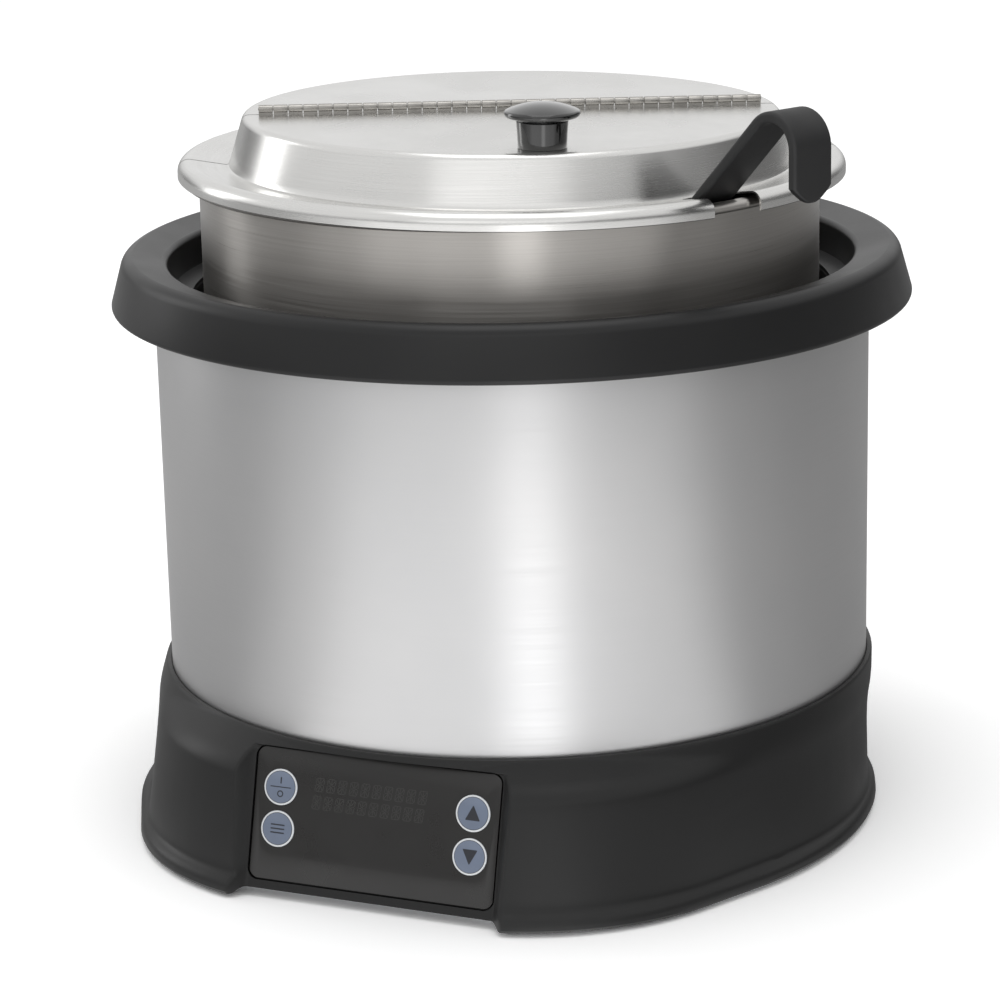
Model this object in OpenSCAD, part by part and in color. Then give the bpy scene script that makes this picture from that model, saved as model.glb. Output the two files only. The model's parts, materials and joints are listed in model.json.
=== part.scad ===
// Countertop induction soup kettle with a lift-out pot, a hinged two-piece lid and a ladle.
// Millimetres. +Z is up, the control panel faces -Y, and the origin is on the kettle's
// axis, on the surface that its feet stand on. A bearing is an angle from the panel's
// direction, positive towards +X.

/* [Kettle] */
// Outer radius of the satin shell
shell_r = 160; // [157:0.5:163]
// Height of the top of the collar
collar_top = 255.8; // [250:0.2:262]
// Outer radius of the collar at its lower edge
collar_r = 179; // [174:0.5:184]

/* [Base] */
// Radius of the base at its foot
base_r = 169.6; // [167:0.2:171]
// How far the foot of the base is set forward of the kettle's axis
base_forward = 16.5; // [15:0.5:18]
// Reach of the foot on each side of the control panel, from the kettle's axis
lobe_reach = 192.2; // [191:0.1:193]
// Height of the crease above the foot
crease_z = 8.5; // [8:0.5:10]
// Height of the base's shoulder
shoulder_z = 56; // [54:0.5:57]

/* [Control panel] */
// Width of the fascia
fascia_w = 113; // [110:0.5:116]
// Height of the fascia
fascia_h = 56.6; // [54:0.2:57]
// Lean of the panel, back from upright
panel_tilt = 15.5; // [14:0.5:17]
// Radius of a button
button_r = 7.8; // [7:0.05:8]

/* [Pot] */
// Outer radius of the pot's wall
pot_r = 137.8; // [136:0.2:139]
// Height of the pot's rolled rim
rim_top = 291.5; // [288:0.5:295]

/* [Lid] */
// Outer radius of the lid's turned-down edge
lid_r = 148.2; // [147.4:0.2:149.4]
// Bearing of the middle of the lid's front half
lid_bearing = 27; // [0:1:60]
// Bearing of the knob
knob_bearing = 29.5; // [20:0.5:35]
// Height of the lid's flat top above the pot's rim
lid_rise = 23.2; // [21:0.2:26]
// How far the lid lies out of level, lower at the hinge's right end
lid_tilt = 0.68; // [0:0.02:0.7]
// Number of hinge knuckles, both halves together
knuckles = 34; // [26:2:40]

/* [Ladle] */
// Bearing of the ladle and of the lid's notch
ladle_bearing = 61.5; // [55:0.5:68]
// Width of the ladle's strap handle
strap_w = 21; // [19:0.5:22]
// Lean of the ladle from upright
ladle_lean = 45.3; // [44:0.1:47]

/* [Hidden] */

$fn = 128;
far = 400;                      // longer than the whole kettle, for cutting tools
eps = 0.01;
run_gap = 0.05;                 // radial clearance of a running fit

// Base
housing_wall = 3;
skirt_z = 1.5;                  // underside of the base's skirt
arch_z = 4.2;                   // underside of the front, below the panel
plate_z = 4;                    // underside of the bottom plate
plate_t = 2;
lip_r = shell_r + 2.6;
lip_z = 67.5;
ledge_z = 64.8;                 // the shell stands on this ledge
ledge_t = 2.2;
// Levels of the base's form: its height, the radius of a circle and how far forward its
// middle is, and the reach of the two lobes beside the panel
lobe_r = 110;
lobe_bearing = 27;
foot_level = [skirt_z, base_r, base_forward, lobe_reach];
foot_top_level = [crease_z, base_r - 0.8, base_forward, lobe_reach - 1.2];
crease_level = [crease_z, base_r - 4.4, base_forward - 2.3, lobe_reach - 5];
waist_level = [44, base_r - 6.6, base_forward - 7.1, lobe_reach - 11.2];
shoulder_level = [shoulder_z, base_r - 6, base_forward - 11.5, lobe_reach - 14.2];
lip_level = [lip_z - eps, lip_r, 0, lip_r];
boss_ring = base_r - 12;        // screw bosses, about the foot's own centre
function rib_reach(bearing) = abs(bearing) < 60 ? 9.3 : 7.4;  // from a boss out into the wall
boss_bearings = [-165, -110, -50, 50, 110, 165];
foot_bearings = [-135, -45, 45, 135];
foot_ring = 148;

// Supply cord's entry
cord_y = 154;                   // seat of the gland's flange, on the back of the base
cord_z = 32;
cord_hole_r = 5;
gland_r = 9;
gland_in = 16;
gland_out = 14;
gland_pad_r = 16;

// Electronics
post_h = 10;                    // from the bottom plate up to the power board
board_z = plate_z + plate_t + post_h;
board_t = 1.6;
board_min = [-98, -70];
board_size = [110, 160];
board_inset = 6;                // of the power board's posts from its edges
fan_at = [62, 30];
fan_size = 80;
fan_h = 20;
fan_z = plate_z + plate_t;
fan_hole_at = 35.5;             // of its screw holes from its middle

// Panel: its face passes through this point, leaning back by panel_tilt
panel_r = 164.5;
panel_z = 35.5;
fascia_t = 2.4;
fascia_corner = 4.2;
panel_wall = 3;
recess_w = fascia_w + 2;        // flat floor of the recess
recess_flare = 9;               // how much each side opens out
recess_flare_depth = 11;
recess_top_z = 63.4;
button_gap = 0.1;
button_proud = 0.3;
button_travel = 0.6;
stem_r = 3;
button_x = 44.6;
button_at = [[-button_x, 11.6], [-button_x, -6.3], [button_x, 10.9], [button_x, -7.3]];
display_size = [60, 22, 8];
display_at = [-4, 11];
control_board_gap = 14;         // from the fascia's face back to the board
switch_h = 4.2;
switch_face = control_board_gap - switch_h - button_travel - 0.15;

// Well
liner_r = pot_r + 4.8;          // inside of the well
liner_t = 0.8;
floor_z = 81;                   // top of the well's floor, which the pot stands on
floor_r = 136;
floor_t = 4;
liner_top = 235.4;
tray_z = 57;
tray_r = 116;
ferrite_z = 60;
coil_wire_r = 2.4;
coil_z = 68.2;
coil_turns = 14;
coil_in_r = 30;
coil_pitch = 5.4;
tray_post_at = [[110, 0], [-110, 0], [0, -110], [-30, 106]];
lead_bearings = [157.5, 202.5];
lead_ring = 60;
rod_ring = 153.5;
rod_r = 2;
rod_bearings = [-30, 90, 210];

// Collar
collar_edge_z = 234;
collar_mouth_r = 153.3;
collar_crease_r = collar_r - 4.5;

// Pot
pot_t = 0.9;
base_disc_t = 3;
pot_floor = floor_z + base_disc_t;
pot_corner = 12;
rim_roll = 2.1;
rim_roll_r = pot_r + 5.1;

// Lid
lid_t = 0.9;
lid_shift = 1.3;                // the lid's middle, off the pot's axis along the hinge
lid_top = rim_top + lid_rise;
flange_z = rim_top + 1.1;       // at the foot of the flank
bead_z = rim_top + 4.1;         // crest of the rolled edge
lid_edge_z = rim_top - 3.5;     // where the turned-down edge ends
flange_round = 5;
flank_foot_r = 125.4;
crown_r = 116;
crown_round = 3.6;
flank_angle = 16.9;             // outward normal of the flank, above level
half_gap = 0.6;                 // each half stops this far from the hinge's plane
notch_w = 26;
notch_in_r = 126;
barrel_r = 1.7;
hinge_len = 223.6;
hinge_z = lid_top + 2.5;
knuckle = hinge_len / knuckles;
knuckle_gap = 0.12;
leaf_w = 12;
leaf_t = 0.8;
leaf_z = lid_top - lid_t - leaf_t - 0.05;
web_half = half_gap - 0.05;     // half the thickness of a knuckle's web, between the plates
pin_r = 0.9;
knob_r = 103;                   // distance of the knob from the lid's middle
knob_h = 19;
knob_dome = 36;                 // radius of the dome on the knob
knob_head_r = 15.9;
screw_r = 2;

// Ladle, in its own upright plane: [distance from the axis, height]
strap_t = 4.6;
strap_axis = [sin(ladle_lean), cos(ladle_lean)];
strap_side = [-cos(ladle_lean), sin(ladle_lean)];
strap_through = [133.5, 292.1]; // the strap's middle line passes through here
hook_bend = 12.5;
hook_bend_at = [179, 319.5];
hook_drop = 21.5;
tip_cut = 6.7;                  // height of the cut corners at the hook's end
grip_inside = 62;               // length of grip below strap_through
tang = 28;                      // length of shank inside the grip
shank_w = 13;
shank_t = 2.2;
bowl_r = 43.3;
bowl_sphere_r = 44;
bowl_sphere_up = 8;
bowl_t = 1.1;
shank_end = 272;                // along the strap's line, from strap_through to the bowl's rim
rivet_r = 2.2;

// --- helpers ------------------------------------------------------------------------

// Points along an arc, from one angle to another
function arc(centre, r, from, to, steps = 8) =
    [for (i = [0 : steps]) centre + r * [cos(from + (to - from) * i / steps),
                                         sin(from + (to - from) * i / steps)]];

// Turns a shape that faces -Y to a bearing
module toward(bearing) {
    rotate([0, 0, bearing]) children();
}

// Places a shape drawn as [distance from the axis, height], at a bearing
module upright_plane(bearing) {
    rotate([0, 0, bearing - 90]) rotate([90, 0, 0]) children();
}

// Places a shape on the panel's face: X across, Y up the face, Z out of it
module on_panel() {
    translate([0, -panel_r, panel_z]) rotate([90 - panel_tilt, 0, 0]) children();
}

module ring(r_out, r_in, z, h) {
    translate([0, 0, z]) difference() {
        cylinder(r = r_out, h = h);
        translate([0, 0, -1]) cylinder(r = r_in, h = h + 2);
    }
}

module rounded_plate(w, h, r, t) {
    linear_extrude(t) union() {
        square([w - 2 * r, h], center = true);
        square([w, h - 2 * r], center = true);
        for (x = [-1, 1], y = [-1, 1])
            translate([x * (w / 2 - r), y * (h / 2 - r)]) circle(r);
    }
}

// --- base ---------------------------------------------------------------------------

// One level of the base's form: a circle set forward, and a lobe on each side of the panel
module base_level(level, inset) {
    translate([0, -level[2], level[0]]) cylinder(r = level[1] - inset, h = eps, $fn = 64);
    for (side = [-1, 1])
        toward(side * lobe_bearing) translate([0, lobe_r - level[3], level[0]])
            cylinder(r = lobe_r - inset, h = eps, $fn = 64);
}

// The base's outer form, or its inside when inset is the wall's thickness: a foot that
// stands out below the crease, a leaning wall, and a sloping shoulder above it
module base_form(inset) {
    hull() {
        base_level(foot_level, inset);
        base_level(foot_top_level, inset);
    }
    hull() {
        base_level(crease_level, inset);
        base_level(waist_level, inset);
    }
    hull() {
        base_level(waist_level, inset);
        base_level(shoulder_level, inset);
        base_level(lip_level, inset);
    }
}

// The recess in front of the panel: flat floor, flared sides, open at the bottom
module panel_recess() {
    depth = recess_flare_depth;
    half = recess_w / 2;
    intersection() {
        on_panel() rotate([90, 0, 0]) linear_extrude(90, center = true)
            polygon([[-half, 0], [half, 0], [half + recess_flare, depth],
                     [half + recess_flare, far / 8], [-half - recess_flare, far / 8],
                     [-half - recess_flare, depth]]);
        translate([0, -far / 2, recess_top_z - far / 2]) cube([far, far, far], center = true);
    }
}

module base_housing() {
    color([0.07, 0.07, 0.07]) difference() {
        union() {
            difference() {
                base_form(0);
                // the hollow inside, which stops behind the panel's wall
                intersection() {
                    base_form(housing_wall);
                    on_panel() translate([0, 0, -far / 2 - fascia_t - panel_wall])
                        cube([far * 2, far * 2, far], center = true);
                    translate([0, 0, ledge_z - ledge_t - far / 2])
                        cube([far * 2, far * 2, far], center = true);
                }
            }
            translate([0, -base_forward, 0])
                for (b = boss_bearings)
                    toward(b) translate([0, -boss_ring, plate_z + plate_t]) {
                        cylinder(r = 5.5, h = 18, $fn = 48);
                        translate([-1.5, -rib_reach(b), 0]) cube([3, rib_reach(b) - 3, 14]);
                    }
            translate([0, cord_y - 9, cord_z]) rotate([-90, 0, 0])
                cylinder(r = gland_pad_r, h = 9);
        }
        translate([0, 0, ledge_z]) cylinder(r = shell_r + 0.2, h = far);
        translate([0, 0, ledge_z - ledge_t - 1]) cylinder(r = 148, h = far);
        panel_recess();
        on_panel() translate([0, 0, -fascia_t])
            rounded_plate(fascia_w + 0.4, fascia_h + 0.4, fascia_corner, far / 8);
        for (p = button_at)
            on_panel() translate([p.x, p.y, -20]) cylinder(r = stem_r + 0.8, h = 20, $fn = 48);
        on_panel() translate([display_at.x, display_at.y, -10])
            cube([display_size.x + 1, display_size.y + 1, 20], center = true);
        // arched relief under the panel
        translate([-recess_w / 2, -far, -eps]) cube([recess_w, far - 150, arch_z]);
        translate([0, -base_forward, 0])
            for (b = boss_bearings)
                toward(b) translate([0, -boss_ring, 0]) cylinder(r = 1.95, h = 22, $fn = 48);
        translate([0, cord_y, cord_z]) rotate([-90, 0, 0]) cylinder(r = gland_pad_r, h = 30);
        translate([0, cord_y - 20, cord_z]) rotate([-90, 0, 0]) cylinder(r = gland_r + 0.1, h = 30);
        for (b = rod_bearings)
            toward(b) translate([0, -rod_ring, 0]) cylinder(r = rod_r + 0.1, h = far, $fn = 48);
    }
}

// Inside of the skirt, for the plate that closes the base
module bottom_plate() {
    slot_w = 4;
    color([0.55, 0.56, 0.58]) difference() {
        intersection() {
            translate([0, -base_forward, plate_z])
                cylinder(r = base_r - housing_wall - 2, h = plate_t);
            translate([0, far / 2 - 163, 0]) cube([far, far, far], center = true);
        }
        for (b = boss_bearings)
            translate([0, -base_forward, 0]) toward(b) translate([0, -boss_ring, 0])
                cylinder(r = 2.2, h = far, center = true, $fn = 48);
        // air inlet slots under the fan, and outlet slots near the heat sink
        for (side = [fan_at, [-62, 60]], i = [-3 : 3])
            translate([side.x + i * 2 * slot_w, side.y, 0])
                cube([slot_w, 56 - 3 * abs(i), far], center = true);
    }
}

module feet() {
    color([0.12, 0.12, 0.12]) translate([0, -base_forward, 0])
        for (b = foot_bearings)
            toward(b) translate([0, -foot_ring, 0]) union() {
                cylinder(r = 11, h = plate_z, $fn = 64);
                cylinder(r = 9.5, h = 0.5, $fn = 64);
            }
}

module bottom_screws() {
    color([0.75, 0.75, 0.76]) translate([0, -base_forward, 0])
        for (b = boss_bearings)
            toward(b) translate([0, -boss_ring, 0]) difference() {
                union() {
                    translate([0, 0, plate_z - 1.6]) cylinder(r = 3.6, h = 1.6, $fn = 48);
                    translate([0, 0, plate_z - eps]) cylinder(r = 1.9, h = 14, $fn = 48);
                }
                translate([0, 0, plate_z - 1.7]) cube([3.8, 0.9, 1.6], center = true);
                translate([0, 0, plate_z - 1.7]) cube([0.9, 3.8, 1.6], center = true);
            }
}

// --- supply cord's entry --------------------------------------------------------------

module cord_gland() {
    color([0.08, 0.08, 0.08]) translate([0, cord_y, cord_z]) rotate([-90, 0, 0]) difference() {
        union() {
            translate([0, 0, -gland_in]) cylinder(r = gland_r, h = gland_in + 1);
            cylinder(r = 13, h = 4, $fn = 6);
            translate([0, 0, 4 - eps]) cylinder(r = 11, h = gland_out - 4);
        }
        translate([0, 0, -gland_in - 1]) cylinder(r = cord_hole_r, h = gland_in + gland_out + 2);
    }
}

module gland_locknut() {
    color([0.1, 0.1, 0.1]) translate([0, cord_y - 9, cord_z]) rotate([90, 0, 0]) difference() {
        cylinder(r = 13, h = 4, $fn = 6);
        translate([0, 0, -1]) cylinder(r = gland_r + 0.1, h = 6);
    }
}

module terminal_block() {
    poles = 3;
    size = [12 * poles, 20, 16];
    color([0.85, 0.83, 0.76]) translate([4, 106, plate_z + plate_t]) difference() {
        cube(size);
        for (i = [0 : poles - 1]) {
            translate([6 + 12 * i, 5, 6]) cylinder(r = 3, h = 20, $fn = 32);
            translate([6 + 12 * i, 15, 6]) cylinder(r = 3, h = 20, $fn = 32);
        }
    }
}

// --- electronics ----------------------------------------------------------------------

// The four posts that carry the power board
module at_board_posts() {
    for (x = [board_inset, board_size.x - board_inset], y = [board_inset, board_size.y - board_inset])
        translate([board_min.x + x, board_min.y + y, 0]) children();
}

module power_board() {
    color([0.1, 0.35, 0.16]) difference() {
        translate([board_min.x, board_min.y, board_z]) cube([board_size.x, board_size.y, board_t]);
        at_board_posts() cylinder(r = 1.8, h = far, $fn = 32);
    }
}

module board_posts() {
    color([0.8, 0.7, 0.35]) at_board_posts() translate([0, 0, plate_z + plate_t]) {
        cylinder(r = 3.2, h = post_h, $fn = 6);
        cylinder(r = 1.7, h = post_h + board_t, $fn = 32);
        translate([0, 0, post_h + board_t]) cylinder(r = 3, h = 1.8, $fn = 32);
    }
}

module heat_sink() {
    fins = 11;
    size = [58, 50, 30];
    pitch = (size.x - 1.6) / (fins - 1);
    color([0.62, 0.63, 0.66]) translate([-93, 28, board_z + board_t]) {
        cube([size.x, size.y, 4]);
        for (i = [0 : fins - 1])
            translate([i * pitch, 0, 4 - eps]) cube([1.6, size.y, size.z - 4]);
    }
}

module capacitors() {
    color([0.16, 0.2, 0.42]) for (p = [[-18, -48, 11], [-18, -22, 11], [-8, 60, 8]])
        translate([p.x, p.y, board_z + board_t]) cylinder(r = p.z, h = 3 * p.z - 3, $fn = 64);
}

module filter_choke() {
    color([0.72, 0.42, 0.2]) translate([-78, -46, board_z + board_t])
        ring(14, 6, 0, 16);
}

module fan_frame() {
    color([0.13, 0.13, 0.13]) translate([fan_at.x, fan_at.y, fan_z]) difference() {
        union() {
            difference() {
                translate([0, 0, fan_h / 2]) cube([fan_size, fan_size, fan_h], center = true);
                translate([0, 0, -1]) cylinder(r = fan_size / 2 - 2, h = fan_h + 2);
            }
            // hub plate and its four arms, at the bottom
            cylinder(r = 15, h = 2);
            for (a = [45 : 90 : 315])
                rotate([0, 0, a]) translate([13, -2, 0]) cube([fan_size / 2 - 13, 4, 2]);
            cylinder(r = 2.5 - run_gap, h = 12, $fn = 48);
        }
        for (x = [-1, 1], y = [-1, 1])
            translate([x * fan_hole_at, y * fan_hole_at, -1])
                cylinder(r = 2.2, h = fan_h + 2, $fn = 32);
    }
}

module fan_rotor() {
    blades = 7;
    color([0.2, 0.2, 0.2]) translate([fan_at.x, fan_at.y, fan_z]) difference() {
        union() {
            translate([0, 0, 3]) cylinder(r = 16, h = 15);
            for (i = [0 : blades - 1])
                rotate([0, 0, i * 360 / blades]) translate([25.5, 0, 10.5])
                    rotate([38, 0, 0]) cube([21, 20, 1.4], center = true);
        }
        translate([0, 0, -eps]) cylinder(r = 2.5, h = 13, $fn = 48);
        ring(60, 36.5, -1, 30);
        translate([0, 0, 18.5]) cylinder(r = 60, h = 10);
        translate([0, 0, -7.4]) cylinder(r = 60, h = 10);
    }
}

// --- controls -------------------------------------------------------------------------

module control_fascia() {
    color([0.06, 0.06, 0.07]) on_panel() difference() {
        translate([0, 0, -fascia_t]) rounded_plate(fascia_w, fascia_h, fascia_corner, fascia_t);
        for (p = button_at)
            translate([p.x, p.y, -fascia_t - 1])
                cylinder(r = button_r + button_gap, h = 10, $fn = 96);
    }
}

// A key cap: a disc in the fascia with a stem that reaches the switch behind it
module button(at) {
    cap_t = fascia_t + button_proud - button_travel - 0.2;
    color([0.42, 0.47, 0.56]) on_panel() translate([at.x, at.y, 0]) {
        translate([0, 0, button_proud - cap_t]) cylinder(r = button_r, h = cap_t, $fn = 96);
        translate([0, 0, -switch_face]) cylinder(r = stem_r, h = switch_face, $fn = 48);
    }
}

module button_power() { button(button_at[0]); }
module button_function() { button(button_at[1]); }
module button_up() { button(button_at[2]); }
module button_down() { button(button_at[3]); }

module control_board() {
    size = [106, 44];
    color([0.1, 0.35, 0.16]) on_panel()
        translate([-size.x / 2, -size.y / 2 + 1, -control_board_gap - board_t])
            cube([size.x, size.y, board_t]);
}

module display_module() {
    color([0.05, 0.05, 0.05]) on_panel()
        translate([display_at.x, display_at.y, -fascia_t - display_size.z / 2 - 0.1])
            cube(display_size, center = true);
}

module tact_switches() {
    color([0.25, 0.25, 0.25]) for (p = button_at)
        on_panel() translate([p.x, p.y, -control_board_gap]) {
            translate([-3, -3, 0]) cube([6, 6, switch_h - 0.9]);
            cylinder(r = 1.7, h = switch_h, $fn = 32);
        }
}

// --- induction coil -------------------------------------------------------------------

module tray_posts() {
    color([0.15, 0.15, 0.15]) for (p = tray_post_at)
        translate([p.x, p.y, plate_z + plate_t])
            cylinder(r = 4, h = tray_z - plate_z - plate_t, $fn = 48);
}

module coil_tray() {
    color([0.2, 0.2, 0.2]) difference() {
        union() {
            translate([0, 0, tray_z]) cylinder(r = tray_r, h = ferrite_z - tray_z);
            ring(tray_r, tray_r - 3, tray_z, 17.5);
        }
        translate([0, 0, tray_z - 1]) cylinder(r = 6.2, h = 10);
        for (b = lead_bearings)
            rotate([0, 0, b]) translate([lead_ring, 0, tray_z - 1])
                cylinder(r = 3, h = 10, $fn = 32);
    }
}

module ferrite_bars() {
    color([0.24, 0.24, 0.26]) for (i = [0 : 7])
        rotate([0, 0, 45 * i]) translate([32, -7, ferrite_z]) cube([64, 14, 5]);
}

module induction_coil() {
    color([0.72, 0.38, 0.18]) {
        for (i = [0 : coil_turns - 1])
            translate([0, 0, coil_z]) rotate_extrude()
                translate([coil_in_r + i * coil_pitch, 0]) circle(coil_wire_r, $fn = 24);
        rotate([0, 0, 22.5]) translate([coil_in_r, -1.5, coil_z - 1.5])
            cube([coil_pitch * (coil_turns - 1), 3, 3]);
    }
}

module coil_leads() {
    color([0.8, 0.75, 0.6]) for (b = lead_bearings)
        rotate([0, 0, b]) translate([lead_ring, 0, board_z + board_t])
            cylinder(r = 2, h = coil_z - coil_wire_r - board_z - board_t - 0.1, $fn = 32);
}

module mica_sheet() {
    color([0.72, 0.66, 0.52]) ring(108, 13, 71.2, 0.8);
}

// Presses up against the floor's underside, in the middle of the coil
module temperature_sensor() {
    color([0.85, 0.84, 0.8]) {
        translate([0, 0, ferrite_z]) cylinder(r = 11, h = 3, $fn = 64);
        translate([0, 0, ferrite_z]) cylinder(r = 6, h = 12, $fn = 64);
        translate([0, 0, ferrite_z + 11])
            cylinder(r = 8, h = floor_z - floor_t - ferrite_z - 11, $fn = 64);
    }
}

// --- well -----------------------------------------------------------------------------

module well_liner() {
    low = floor_z - floor_t - 2;
    color([0.2, 0.2, 0.21]) rotate_extrude() polygon([
        [122, low], [liner_r + liner_t, low], [liner_r + liner_t, liner_top - liner_t],
        [150.5, liner_top - liner_t], [150.5, liner_top], [liner_r, liner_top],
        [liner_r, low + liner_t], [122, low + liner_t]
    ]);
}

module floor_seal() {
    low = floor_z - floor_t - 2 + liner_t;
    color([0.3, 0.3, 0.3]) rotate_extrude() polygon([
        [124, low], [liner_r - 0.1, low], [liner_r - 0.1, floor_z + 0.4], [floor_r + 0.1, floor_z],
        [floor_r + 0.1, floor_z - floor_t], [124, floor_z - floor_t]
    ]);
}

module well_floor() {
    color([0.08, 0.08, 0.09]) translate([0, 0, floor_z - floor_t]) cylinder(r = floor_r, h = floor_t);
}

module insulation_wrap() {
    color([0.88, 0.86, 0.78]) ring(150, liner_r + liner_t + 0.6, 92, 134);
}

module tie_rods() {
    nut_t = 4;
    low = ledge_z - ledge_t - nut_t;
    color([0.78, 0.78, 0.79]) for (b = rod_bearings)
        toward(b) translate([0, -rod_ring, 0]) {
            translate([0, 0, low]) cylinder(r = rod_r, h = collar_edge_z - 2 - low, $fn = 48);
            translate([0, 0, low]) cylinder(r = 4, h = nut_t, $fn = 6);
            translate([0, 0, ledge_z]) cylinder(r = 4, h = nut_t, $fn = 6);
        }
}

module outer_shell() {
    color([0.8, 0.8, 0.81]) ring(shell_r, shell_r - 1.2, ledge_z, collar_edge_z - 2 - ledge_z);
}

// The black bezel: leaning outer wall, dished top, and a mouth with a ledge inside it
module collar() {
    brim = 6.5;
    wall_z = collar_edge_z - 2;
    lip_z = wall_z - 1.5;
    ledge = liner_top + 0.1;
    color([0.09, 0.09, 0.09]) rotate_extrude() polygon(concat(
        [[shell_r + 0.2, wall_z], [shell_r + 0.2, lip_z], [shell_r + 2, lip_z],
         [shell_r + 2, wall_z], [collar_r - 2, wall_z]],
        arc([collar_r - 2, wall_z + 2], 2, -90, 10, 5),
        arc([collar_crease_r - brim, collar_top - brim], brim, 12, 84, 9),
        [[collar_mouth_r + 4, collar_top - 4]],
        arc([collar_mouth_r + 2, collar_top - 6], 2, 84, 180, 5),
        [[collar_mouth_r, ledge + 2.4], [liner_r, ledge + 1.4], [liner_r, ledge],
         [150.8, ledge], [150.8, wall_z]]
    ));
}

// --- pot ------------------------------------------------------------------------------

module inset_pot() {
    in_r = pot_r - pot_t;
    cove = 3;
    cove_at = [in_r + cove, rim_top - cove];
    roll_at = [rim_roll_r, rim_top - rim_roll];
    color([0.75, 0.74, 0.72]) rotate_extrude() polygon(concat(
        [[0, pot_floor]],
        arc([pot_r - pot_corner, pot_floor + pot_corner], pot_corner, -90, 0, 10),
        arc(cove_at, cove - pot_t, 180, 90, 5),
        [[rim_roll_r - 1, rim_top - pot_t], [rim_roll_r - 1, rim_top - 2 * rim_roll]],
        arc(roll_at, rim_roll, -90, 90, 10),
        arc(cove_at, cove, 90, 180, 5),
        arc([pot_r - pot_corner, pot_floor + pot_corner], pot_corner - pot_t, 0, -90, 10),
        [[0, pot_floor + pot_t]]
    ));
}

// Magnetic plate bonded under the pot, which the coil heats
module inset_base_plate() {
    color([0.6, 0.6, 0.6]) translate([0, 0, floor_z]) cylinder(r = 118, h = base_disc_t);
}

// --- lid ------------------------------------------------------------------------------

// Places a shape drawn for a level lid whose hinge runs along X
module on_lid() {
    toward(lid_bearing) translate([lid_shift, 0, bead_z]) rotate([0, lid_tilt, 0])
        translate([0, 0, -bead_z]) children();
}

// Places a shape at the foot of the knob, on the lid
module at_knob() {
    toward(knob_bearing - lid_bearing) translate([0, -knob_r, lid_top]) children();
}

// Section of the pressed lid, from the middle out to its turned-down edge
module lid_section() {
    crown_at = [crown_r, lid_top - crown_round];
    edge_at = [lid_r - flange_round, bead_z - flange_round];
    rise = 100;                 // the flange climbs towards its rolled edge
    polygon(concat(
        [[0, lid_top]],
        arc(crown_at, crown_round, 90, flank_angle, 8),
        [[flank_foot_r, flange_z]],
        arc(edge_at, flange_round, rise, 0, 8),
        [[lid_r, lid_edge_z], [lid_r - lid_t, lid_edge_z]],
        arc(edge_at, flange_round - lid_t, 0, rise, 8),
        [[flank_foot_r - 0.6, flange_z - lid_t]],
        arc(crown_at, crown_round - lid_t, flank_angle, 90, 8),
        [[0, lid_top - lid_t]]
    ));
}

// One half of the lid: side is -1 for the front half, 1 for the rear half
module lid_half(side) {
    intersection() {
        rotate_extrude() lid_section();
        translate([0, side * (far / 2 + half_gap), rim_top]) cube([far, far, far], center = true);
    }
}

module lid_rear() {
    color([0.82, 0.82, 0.82]) on_lid() lid_half(1);
}

module lid_front() {
    color([0.82, 0.82, 0.82]) on_lid() difference() {
        lid_half(-1);
        toward(ladle_bearing - lid_bearing)
            translate([-notch_w / 2, -notch_in_r - 60, flange_z - 20]) cube([notch_w, 60, 40]);
        at_knob() translate([0, 0, -5]) cylinder(r = screw_r + 0.1, h = 10, $fn = 48);
    }
}

// A leaf under one half of the lid, with every other knuckle of the hinge. Each knuckle
// stands on a web that comes up between the two halves' edges.
module hinge_leaf(side, first, bore_r) {
    length = knuckle - knuckle_gap;
    tongue = half_gap + 0.4;    // joins the web to the leaf, below the lid's plate
    color([0.72, 0.72, 0.71]) on_lid() difference() {
        union() {
            translate([0, side * (half_gap + leaf_w / 2), leaf_z + leaf_t / 2])
                cube([hinge_len, leaf_w, leaf_t], center = true);
            for (i = [first : 2 : knuckles - 1])
                translate([-hinge_len / 2 + i * knuckle + knuckle_gap / 2, 0, 0]) {
                    translate([0, 0, hinge_z]) rotate([0, 90, 0])
                        cylinder(r = barrel_r, h = length, $fn = 48);
                    translate([0, -web_half, leaf_z])
                        cube([length, 2 * web_half, hinge_z - leaf_z - pin_r - 0.3]);
                    translate([0, side > 0 ? -web_half : -tongue, leaf_z])
                        cube([length, web_half + tongue, leaf_t]);
                }
        }
        translate([-far / 2, 0, hinge_z]) rotate([0, 90, 0]) cylinder(r = bore_r, h = far, $fn = 48);
    }
}

module rear_hinge_leaf() { hinge_leaf(1, 0, pin_r + 0.01); }
module front_hinge_leaf() { hinge_leaf(-1, 1, pin_r + run_gap); }

module hinge_pin() {
    color([0.7, 0.7, 0.7]) on_lid() translate([-hinge_len / 2, 0, hinge_z])
        rotate([0, 90, 0]) cylinder(r = pin_r, h = hinge_len, $fn = 48);
}

// A sleeve, a narrow neck, and a lens-shaped head
module lid_knob() {
    sleeve_r = 10.3;
    sleeve_top_r = 10.9;
    sleeve_h = 11.4;
    neck_r = 7.6;
    edge = 1.6;
    color([0.04, 0.04, 0.04]) on_lid() at_knob() difference() {
        rotate_extrude() polygon(concat(
            [[0, 0], [sleeve_r, 0], [sleeve_top_r, sleeve_h - 0.5]],
            arc([sleeve_top_r - 0.5, sleeve_h - 0.5], 0.5, 10, 90, 3),
            [[neck_r, sleeve_h], [neck_r, sleeve_h + 0.6], [neck_r + 2.4, sleeve_h + 0.9]],
            arc([knob_head_r - edge, knob_h - 4.7], edge, -70, 62, 6),
            arc([0, knob_h - knob_dome], knob_dome, 65, 90, 8)
        ));
        translate([0, 0, -eps]) cylinder(r = screw_r, h = 11, $fn = 48);
    }
}

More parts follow.
